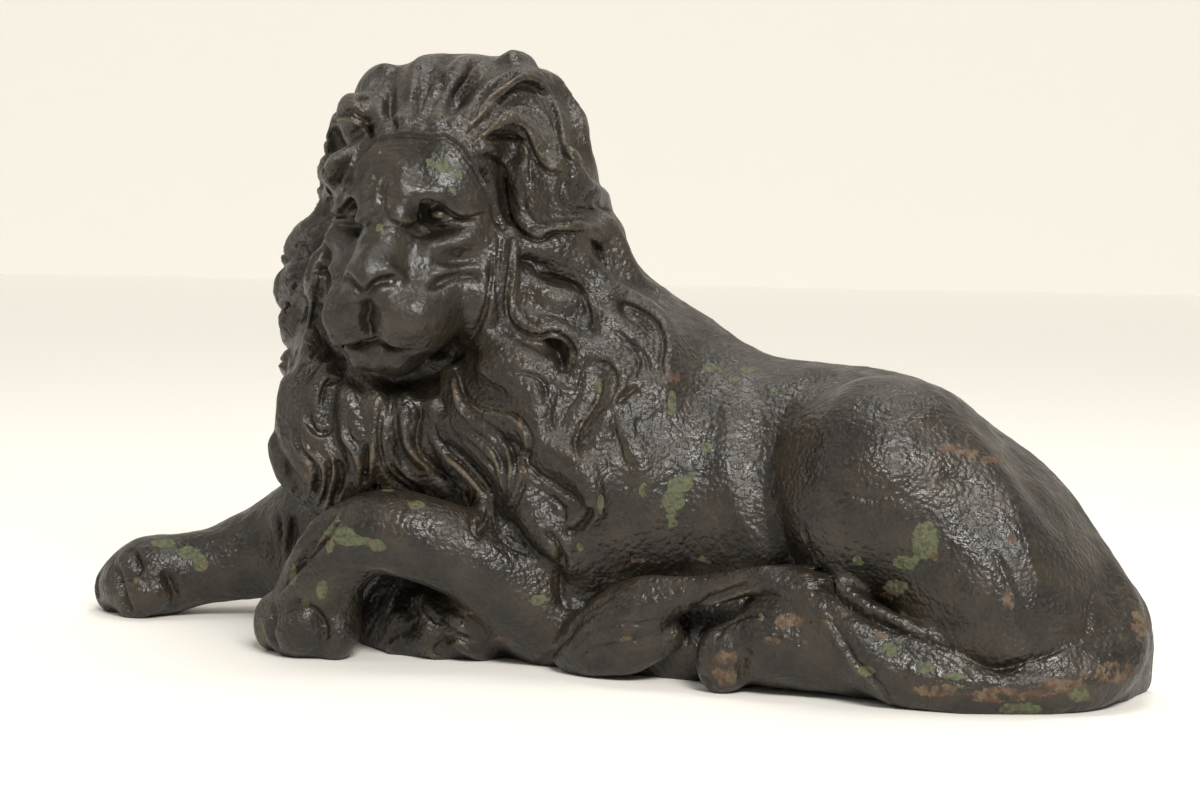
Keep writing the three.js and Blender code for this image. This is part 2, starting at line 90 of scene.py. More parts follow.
def cameraAxes():
    turn, pitch, roll = (math.radians(view[k]) for k in ("azimuth", "pitch", "roll"))
    level = math.cos(pitch)
    forward = Vector((-math.sin(turn) * level, math.cos(turn) * level, -math.sin(pitch)))
    right = Vector((math.cos(turn), math.sin(turn), 0))
    up = right.cross(forward)
    place = Vector((
        -view["aside"] * math.cos(turn) + view["away"] * math.sin(turn) + view["zero"][0],
        -view["aside"] * math.sin(turn) - view["away"] * math.cos(turn) + view["zero"][1],
        view["height"],
    ))
    tiltedRight = right * math.cos(roll) + up * math.sin(roll)
    tiltedUp = up * math.cos(roll) - right * math.sin(roll)
    return place, tiltedRight, tiltedUp, forward


def focalPixels():  # the focal length in the photograph's pixels
    return view["focal"] / view["sensor"] * view["frame"][0]


def addCamera():
    place, right, up, forward = cameraAxes()
    bpy.ops.object.camera_add()
    camera = bpy.context.object
    camera.name = "camera"
    camera.data.lens = view["focal"]
    camera.data.sensor_width = view["sensor"]
    camera.data.clip_end = view["farthest"]
    axes = Matrix((right, up, -forward)).transposed().to_4x4()
    camera.matrix_world = Matrix.Translation(place * mm) @ axes
    bpy.context.scene.camera = camera


def linear(hexColour, alpha=1.0):
    parts = [int(hexColour[i:i + 2], 16) / 255 for i in (1, 3, 5)]
    bent = (c / 12.92 if c <= 0.04045 else ((c + 0.055) / 1.055) ** 2.4 for c in parts)
    return tuple(bent) + (alpha,)


def addNode(nodes, kind, inputs=(), **settings):
    node = nodes.new(kind)
    for name, value in settings.items():
        setattr(node, name, value)
    for socket, value in dict(inputs).items():
        if isinstance(value, bpy.types.NodeSocket):
            nodes.id_data.links.new(value, node.inputs[socket])
        else:
            node.inputs[socket].default_value = value
    return node


# Floor, backdrop and light. Places and sizes in metres, power in watts.

studio = {
    "paper": "#ebe9e4",
    "paperRoughness": 0.8,
    "paperSize": 16.0,
    "backdropAway": 3.2,
    "world": "#fffaf3",
    "worldPower": 0.43,
    "sunFrom": (0.75, -1.0, 1.25),
    "sunPower": 1.85,
    "sunAngle": 16.0,  # degrees, how wide the soft light is
    "aimedAt": (0, 0, 0.08),
    "lampColour": "#fffcf7",
    "lamps": [  # place, size, power
        ((-1.1, -0.9, 0.95), 0.35, 2.8),  # left, in front
        ((0.9, -0.75, 1.0), 0.35, 9.0),  # right, in front
        ((0.1, 0.3, 1.3), 0.45, 5.5),  # overhead
    ],
}


def aim(lamp, place):
    lamp.data.color = linear(studio["lampColour"])[:3]
    into = Vector(studio["aimedAt"]) - Vector(place)
    lamp.rotation_euler = into.to_track_quat("-Z", "Y").to_euler()


def addStudio():
    paper = bpy.data.materials.new("pale paper")  # matt, near white, slightly warm
    paper.use_nodes = True
    shader = paper.node_tree.nodes["Principled BSDF"]
    shader.inputs["Base Color"].default_value = linear(studio["paper"])
    shader.inputs["Roughness"].default_value = studio["paperRoughness"]
    turn = math.radians(view["azimuth"])
    away = studio["backdropAway"]
    behind = (-away * math.sin(turn), away * math.cos(turn), 0)
    for name, place, tilt in (("floor", (0, 0, 0), 0), ("backdrop", behind, 90)):
        bpy.ops.mesh.primitive_plane_add(
            size=studio["paperSize"], location=place, rotation=(math.radians(tilt), 0, turn))
        bpy.context.object.name = name
        bpy.context.object.data.materials.append(paper)
    world = bpy.data.worlds.new("soft room")
    world.use_nodes = True
    background = world.node_tree.nodes["Background"]
    background.inputs["Color"].default_value = linear(studio["world"])
    background.inputs["Strength"].default_value = studio["worldPower"]
    bpy.context.scene.world = world
    bpy.ops.object.light_add(type="SUN")
    sun = bpy.context.object
    sun.data.energy = studio["sunPower"]
    sun.data.angle = math.radians(studio["sunAngle"])
    aim(sun, studio["sunFrom"])
    for place, size, power in studio["lamps"]:
        bpy.ops.object.light_add(type="AREA", location=place)
        lamp = bpy.context.object
        lamp.data.shape = "SQUARE"
        lamp.data.size = size
        lamp.data.energy = power
        aim(lamp, place)


# The lion's body, from the casting itself

casting = {
    "weld": 0.01,  # mm, within which the solid's loose corners are joined
    "rounding": 2,  # how often its flat triangles are rounded off
    "voxel": 0.8,  # mm between vertices while it is carved
    "smoothing": 10,
    "smoothingShare": 0.5,
    "swelling": 0.6,  # mm, what the smoothing takes away
    "faces": 198000,
}


def selectOnly(piece):
    bpy.ops.object.select_all(action="DESELECT")
    piece.select_set(True)
    bpy.context.view_layer.objects.active = piece


def applyModifier(kind, **settings):
    bpy.ops.object.modifier_add(type=kind)
    modifier = bpy.context.object.modifiers[-1]
    for name, value in settings.items():
        setattr(modifier, name, value)
    bpy.ops.object.modifier_apply(modifier=modifier.name)


def takeCasting():
    selectOnly(frame["nodes"]["lion"])
    bpy.ops.object.duplicate()
    piece = bpy.context.object
    bpy.ops.object.parent_clear(type="CLEAR_KEEP_TRANSFORM")
    piece.name = "lion_casting"
    piece.data.materials.clear()
    bpy.ops.object.mode_set(mode="EDIT")
    bpy.ops.mesh.select_all(action="SELECT")
    bpy.ops.mesh.remove_doubles(threshold=casting["weld"] * mm)
    bpy.ops.object.mode_set(mode="OBJECT")
    applyModifier("SUBSURF", levels=casting["rounding"])
    applyModifier("REMESH", mode="VOXEL", voxel_size=casting["voxel"] * mm, use_smooth_shade=True)
    applyModifier("SMOOTH", factor=casting["smoothingShare"], iterations=casting["smoothing"])
    return piece


# Places in mm, outward directions, and a tree that lines are dropped on. An old tree is kept while
# the carving is shallow.
def readForm(piece, tree=None):
    mesh = piece.data
    count = len(mesh.vertices)
    places = np.zeros(3 * count, np.float32)
    normals = np.zeros(3 * count, np.float32)
    mesh.vertices.foreach_get("co", places)
    mesh.vertex_normals.foreach_get("vector", normals)
    places = places.reshape(-1, 3).astype(float) / mm
    normals = normals.reshape(-1, 3).astype(float)
    if tree is None:
        mesh.calc_loop_triangles()
        triangles = np.zeros(3 * len(mesh.loop_triangles), np.int32)
        mesh.loop_triangles.foreach_get("vertices", triangles)
        tree = BVHTree.FromPolygons(places.tolist(), triangles.reshape(-1, 3).tolist())
    return {"places": places, "normals": normals, "tree": tree, "piece": piece}


def writeForm(form, newTree=False):
    mesh = form["piece"].data
    mesh.vertices.foreach_set("co", (form["places"] * mm).astype(np.float32).ravel())
    mesh.update()
    return readForm(form["piece"], None if newTree else form["tree"])


# Carving is drawn as lines on flat pictures and dropped on the form. "crops" are parts of the
# photograph, enlarged: the corner's pixel and the enlargement, y downwards. "boards" stand upright
# beside the lion, turned by an azimuth, and are drawn on in millimetres, y upwards.

drawing = {
    "crops": {
        "face": ((300, 120), 6),
        "panel": ((420, 40), 5),  # the mane beside the near cheek
        "neck": ((440, 200), 4),
        "beard": ((262, 330), 5),
        "crown": ((290, 35), 6),
        "far": ((225, 110), 6),  # the outline of the far cheek and mane
        "legs": ((80, 470), 3),
        "hind": ((540, 340), 2.6),
        "whole": ((0, 0), 1),
    },
    "boards": {"side": -65},  # faces the far side of the mane
    "boardAway": 300,  # mm from the lion's middle
    "foldAway": 100,  # mm from the face, where mirrored lines are dropped from
    "pixel": 0.35,  # mm, the photograph's pixel at the lion
    "spacing": 0.8,  # mm between the spots of a dropped line
    "leap": 8,  # spots: a line that jumps further, over a gap, ends there
    "fewest": 3,  # spots that make a line
    "evening": 9,  # spots over which the form's outward direction is evened out
    "turnedAway": -0.2,  # cosine, past which the form faces away from the line and stays as it is
}


def unit(vectors, least=0.0):
    return vectors / (np.linalg.norm(vectors, axis=1)[:, None] + least)


def facing(azimuth):  # to the right and straight ahead, for somebody who looks that way
    turn = math.radians(azimuth)
    right = np.array((math.cos(turn), math.sin(turn), 0))
    return right, np.array((-math.sin(turn), math.cos(turn), 0))


def raysOf(picture, points):
    if picture in drawing["crops"]:
        corner, enlargement = drawing["crops"][picture]
        place, right, up, forward = (np.array(v) for v in cameraAxes())
        width, height = view["frame"]
        across = (corner[0] + points[:, 0] / enlargement - width / 2) / focalPixels()
        down = (corner[1] + points[:, 1] / enlargement - height / 2) / focalPixels()
        into = forward + across[:, None] * right - down[:, None] * up
        return np.broadcast_to(place, into.shape), unit(into)
    right, into = facing(drawing["boards"][picture])
    zero = np.array((*view["zero"], 0)) - into * drawing["boardAway"]
    starts = zero + points[:, :1] * right + points[:, 1:] * np.array((0, 0, 1))
    return starts, np.broadcast_to(into, starts.shape)


def inPhotograph(places):
    place, right, up, forward = (np.array(v) for v in cameraAxes())
    width, height = view["frame"]
    offset = places - place
    pixels = focalPixels() / (offset @ forward)
    return np.stack((width / 2 + offset @ right * pixels, height / 2 - offset @ up * pixels), 1)


# A curve through the points, with a spot at each step of about the spacing.
def smoothLine(points, spacing):
    p = np.array(points, float)
    p = np.vstack((2 * p[0] - p[1], p, 2 * p[-1] - p[-2]))
    line = []
    for a, b, c, d in zip(p, p[1:], p[2:], p[3:]):
        n = max(1, round(np.linalg.norm(c - b) / spacing))
        for t in np.arange(n) / n:
            line.append((2 * b + (c - a) * t + (2 * a - 5 * b + 4 * c - d) * t ** 2
                         + (3 * b - a - 3 * c + d) * t ** 3) / 2)
    line.append(p[-2])
    return np.array(line)


# The spots where a drawn line meets the form, the form's outward direction there, and the line's
# own. A mirrored line is first folded over the face's middle, then dropped straight at the face.
def layLine(form, picture, points, mirror=False):
    spacing = drawing["spacing"]
    if picture in drawing["crops"]:
        spacing *= drawing["crops"][picture][1] / drawing["pixel"]
    starts, intos = raysOf(picture, smoothLine(points, spacing))
    if mirror:
        starts, intos = foldOver(form, starts, intos)
    leap = drawing["leap"] * drawing["spacing"]
    spots, outs = [], []
    for start, into in zip(starts, intos):
        spot, out, _, _ = form["tree"].ray_cast(Vector(start), Vector(into))
        if spot is None or (spots and (spot - Vector(spots[-1])).length > leap):
            if len(spots) > drawing["fewest"]:
                break
            spots, outs = [], []
            if spot is None:
                continue
        spots.append(np.array(spot))
        outs.append(np.array(out))
    if len(spots) < drawing["fewest"]:
        return None
    spots, outs = np.array(spots), np.array(outs)
    width = drawing["evening"]
    padded = np.pad(outs, ((width // 2, width // 2), (0, 0)), mode="edge")
    outs = [np.convolve(padded[:, k], np.ones(width), mode="valid") for k in range(3)]
    outs = unit(np.stack(outs, axis=1), least=1e-9)
    return {"spots": spots, "outs": outs, "along": unit(np.gradient(spots, axis=0), least=1e-9)}


def foldOver(form, starts, intos):
    across, into = facing(face["turn"])
    folded = []
    for start, direction in zip(starts, intos):
        spot = form["tree"].ray_cast(Vector(start), Vector(direction))[0]
        if spot is not None:
            spot = np.array(spot)
            twin = spot - 2 * across * (across @ (spot - face["middle"]))
            folded.append(twin - into * drawing["foldAway"])
    return np.array(folded), np.broadcast_to(into, (len(folded), 3))


# The vertices within reach of a laid line: their distance, their signed offset to its left, the
# nearest spot, and how far along the line they are, from 0 to 1.
def nearLine(form, line, reach, depth):
    spots = line["spots"]
    places = form["places"]
    inside = (places > spots.min(0) - reach) & (places < spots.max(0) + reach)
    picked = np.nonzero(inside.all(1))[0]
    close = places[picked]
    gaps = (close ** 2).sum(1)[:, None] + (spots ** 2).sum(1)[None] - 2 * close @ spots.T
    nearest = gaps.argmin(1)
    offset = close - spots[nearest]
    outs = line["outs"][nearest]
    height = (offset * outs).sum(1)
    flat = offset - outs * height[:, None]
    distance = np.linalg.norm(flat, axis=1)
    left = (flat * np.cross(outs, line["along"][nearest])).sum(1)
    forth = (flat * line["along"][nearest]).sum(1) / drawing["spacing"]
    share = (nearest + forth.clip(-0.5, 0.5)) / max(1, len(spots) - 1)
    turned = (form["normals"][picked] * outs).sum(1)
    kept = (distance < reach) & (abs(height) < depth) & (turned > drawing["turnedAway"])
    return picked[kept], distance[kept], left[kept], nearest[kept], share[kept]


# A stroke is at its full height in the middle, and at a share of it at its two ends.
def faded(share, low=0.3, length=0.25):
    toEnd = np.clip(np.minimum(share, 1 - share) / length, 0, 1)
    return low + (1 - low) * np.sin(toEnd * np.pi / 2)


# Lays each row's line, and its mirrored twin, whose left and right are swapped.
def lines(form, picture, rows, mirror):
    for row in rows:
        for folded in ((False, True) if mirror else (False,)):
            line = layLine(form, picture, row[0], folded)
            if line is not None:
                yield line, row[1:], -1 if folded else 1


# How a stroke is cut. Depth is how far above or below its line it reaches, in mm; ends is the share
# of its height that it keeps at its ends, and fade the share of its length over which it fades.

swelling = {
    "depth": 9,
    "ends": 0.15,
    "fade": 0.45,
    "broad": 3,  # mm of half width, past which the whole ridge rises in one direction
    "short": 1.5,  # half widths of length, below which it is a round lump and doesn't fade
}
creasing = {"depth": 7, "ends": 0.1, "sharpness": 1.6}
overlapping = {
    "depth": 7,
    "reach": 1.4,  # times the kind's spread
    "rim": 0.5,  # mm, half the width of the step itself
    "past": 1.5,  # mm, over which it dies out past the line's ends
    "sharpness": 1.5,
}
stepping = {
    "behind": 22,  # mm behind the line that still moves back
    "aside": 12,  # pixels on the line's far side that are looked at
    "facing": 0.4,  # cosine, past which the form faces away and stays
    "rim": 1.5,  # mm, over which the step gets its full depth
    "roundness": 0.7,
    "past": 3,  # mm
    "fade": 0.35,
}

# What lies over what: how far the upper side rises and the lower one falls, and for hair how far
# apart its strands are and how high, in mm.

hair = {"rise": 2.6, "fall": 2.2, "pitch": 2.3, "strand": 0.26, "spread": 6.0}
bulk = {"rise": 9.0, "fall": 5.0, "pitch": 2.3, "strand": 0.0, "spread": 11.0}
flesh = {"rise": 3.0, "fall": 2.0, "pitch": 2.3, "strand": 0.0, "spread": 5.0}


# Rounded ridges, or shallow dips where the lift is below zero: (points, half width, lift).
def swell(form, picture, rows, mirror=False):
    for line, (width, lift), _ in lines(form, picture, rows, mirror):
        picked, distance, _, nearest, share = nearLine(form, line, width, swelling["depth"])
        short = len(line["spots"]) * drawing["spacing"] < swelling["short"] * width
        ends = 1.0 if short else swelling["ends"]
        bump = (1 - (distance / width) ** 2) ** 2 * faded(share, ends, swelling["fade"])
        out = line["outs"].mean(0) if width > swelling["broad"] else line["outs"][nearest]
        form["places"][picked] += out * (lift * bump)[:, None]
    return writeForm(form)


# Sharp furrows: (points, half width, depth).
def crease(form, picture, rows, mirror=False):
    for line, (width, depth), _ in lines(form, picture, rows, mirror):
        picked, distance, _, nearest, share = nearLine(form, line, width, creasing["depth"])
        cut = (1 - distance / width) ** creasing["sharpness"] * faded(share, creasing["ends"])
        form["places"][picked] -= line["outs"][nearest] * (depth * cut)[:, None]
    return writeForm(form)


# Where one fold or lock lies over another: (points, rise, fall). The form rises on the line's left
# and falls on its right; in hair, strands run alongside.
def overlap(form, picture, rows, kind=hair, mirror=False):
    for line, (rise, fall), side in lines(form, picture, rows, mirror):
        reach = kind["spread"] * overlapping["reach"]
        picked, distance, left, nearest, share = nearLine(form, line, reach, overlapping["depth"])
        left = left * side
        rim = np.clip(left / overlapping["rim"], -1, 1) / 2 + 0.5
        past = (distance - abs(left)).clip(0) / overlapping["past"]
        high = rise * np.exp(-(left / kind["rise"]) ** 2)
        low = -fall * np.exp(-(abs(left) / kind["fall"]) ** overlapping["sharpness"])
        strand = kind["strand"] * np.cos(2 * np.pi * left / kind["pitch"])
        strand *= np.exp(-(left / kind["spread"]) ** 2)
        lift = (high * rim + low * (1 - rim) + strand) * np.exp(-past ** 2) * faded(share)
        form["places"][picked] += line["outs"][nearest] * lift[:, None]
    return writeForm(form)


# Sets what lies on the left of a drawn line back, so that the line becomes an edge that stands free
# of what is behind it: (points, step, width), in mm. The step fades out again over the width.
def stepBack(form, picture, rows, ends=1.0):
    corner, enlargement = drawing["crops"][picture]
    _, into = facing(face["turn"])
    for points, step, width in rows:
        line = layLine(form, picture, points)
        behind = (line["spots"] @ into).max() + stepping["behind"]
        drawn = np.array(corner) + smoothLine(points, enlargement) / enlargement
        along = unit(np.gradient(drawn, axis=0))
        pixels = inPhotograph(form["places"])
        low, high = drawn.min(0) - width / drawing["pixel"], drawn.max(0) + stepping["aside"]
        near = ((pixels > low) & (pixels < high)).all(1) & (form["places"] @ into < behind)
        near &= form["normals"] @ into < stepping["facing"]
        picked = np.nonzero(near)[0]
        offset = pixels[picked][:, None] - drawn[None]
        nearest = (offset ** 2).sum(2).argmin(1)
        offset = offset[np.arange(len(picked)), nearest]
        left = along[nearest][:, 1] * offset[:, 0] - along[nearest][:, 0] * offset[:, 1]
        left *= drawing["pixel"]
        past = np.linalg.norm(offset, axis=1) * drawing["pixel"] - abs(left)
        push = np.clip(left / stepping["rim"], 0, 1) ** stepping["roundness"]
        push *= np.clip(1 - (left - width * 0.5) / (width * 0.5), 0, 1)
        fading = faded(nearest / len(drawn), ends, stepping["fade"])
        push *= np.exp(-(past / stepping["past"]) ** 2) * fading
        form["places"][picked] += into * (step * push)[:, None]
    return writeForm(form, newTree=True)


# Face, drawn on the near side and mirrored

face = {
    "turn": 4.0,  # degrees
    "middle": np.array((-58.4, 1.0, 0)),
    "masses": [
        ([(608, 400), (622, 470), (625, 550)], 9.0, 2.9),  # inner end of the brow
        # brow
        ([(640, 445), (700, 418), (770, 420), (850, 458), (930, 520), (1010, 545)], 4.4, 1.6),
        ([(965, 712), (1060, 672)], 8.0, 1.6),  # cheekbone
        ([(815, 725), (835, 705)], 7.0, 0.7),
        ([(540, 905), (600, 950)], 4.4, 1.0),  # wing of the nose
        ([(440, 850), (400, 930)], 9.0, 1.1),  # nose
        ([(510, 1100), (530, 1130)], 8.0, 0.9),
        ([(560, 1180), (670, 1180)], 13.0, 2.7),  # whisker pad
    ],
    # edge of the far brow, cheek and muzzle against the hair, drawn upwards
    "farEdge": [
        ([(690, 1440), (640, 1370), (608, 1300), (600, 1220), (618, 1130), (640, 1060), (632, 980),
          (606, 900), (600, 830), (620, 760), (655, 700), (650, 620), (668, 540), (720, 470),
          (770, 370), (810, 290), (860, 235)], 6.5, 9.0),
    ],
    "dips": [
        ([(722, 545), (745, 600)], 3.8, -2.7),  # beside the nose, at the eye's inner corner
        ([(770, 825), (870, 838), (960, 832), (1090, 800)], 5.8, -3.6),  # under the cheekbone
    ],
    "brow": [
        ([(520, 540), (555, 600), (610, 632), (660, 622), (695, 570), (706, 500), (745, 470),
          (800, 476), (870, 520), (930, 562), (1000, 580), (1085, 560)], 1.1, 2.4),
    ],
    "mouth": [
        ([(455, 1310), (500, 1332), (560, 1358), (640, 1369), (720, 1370), (800, 1363), (880, 1345),
          (935, 1305)], 1.3, 3.6),
    ],
    "furrows": [
        ([(775, 612), (850, 602), (950, 596), (1040, 588)], 1.2, 0.9),  # over the lower lid
        ([(640, 665), (700, 692), (760, 690), (778, 650)], 1.4, 1.0),
        ([(760, 1030), (830, 975), (920, 940), (1000, 928), (1100, 930)], 3.4, 3.0),
        # nostril
        ([(600, 972), (560, 955), (515, 962), (455, 985), (412, 1038), (400, 1065)], 3.0, 3.4),
        ([(868, 1392), (885, 1402)], 1.8, 2.0),
        ([(480, 1330), (560, 1366), (640, 1378), (720, 1379), (800, 1372), (880, 1352),
          (930, 1312)], 2.6, 2.6),
    ],
    "middleLines": [
        ([(535, 330), (510, 390), (494, 440), (496, 525)], 1.9, 1.3),  # furrow of the brow
        # lip's cleft
        ([(398, 1062), (420, 1130), (404, 1200), (425, 1262), (440, 1300)], 3.2, 2.9),
        ([(440, 1300), (470, 1322), (500, 1335)], 1.5, 1.8),
    ],
    "lids": [
        ([(765, 560), (810, 562), (880, 578)], 3.2, 2.1),  # eyeball
        ([(775, 630), (850, 620), (950, 614), (1045, 604), (1100, 584)], 1.8, 1.0),  # lower lid
        ([(735, 648), (755, 660)], 2.4, 1.1),  # inner corner
        # between the cheek's two folds
        ([(780, 925), (870, 895), (960, 888), (1080, 872)], 3.8, 1.4),
        ([(870, 1440), (820, 1450)], 4.0, 1.5),  # corner of the lower lip
    ],
}


def carveFace(form):
    form = stepBack(form, "far", face["farEdge"])
    form = swell(form, "face", face["masses"], mirror=True)
    form = overlap(form, "face", face["brow"], kind=flesh, mirror=True)
    form = swell(form, "face", face["dips"], mirror=True)
    form = crease(form, "face", face["furrows"], mirror=True)
    form = overlap(form, "face", face["mouth"], kind=flesh, mirror=True)
    form = crease(form, "face", face["middleLines"])
    return swell(form, "face", face["lids"], mirror=True)


# Mane and beard

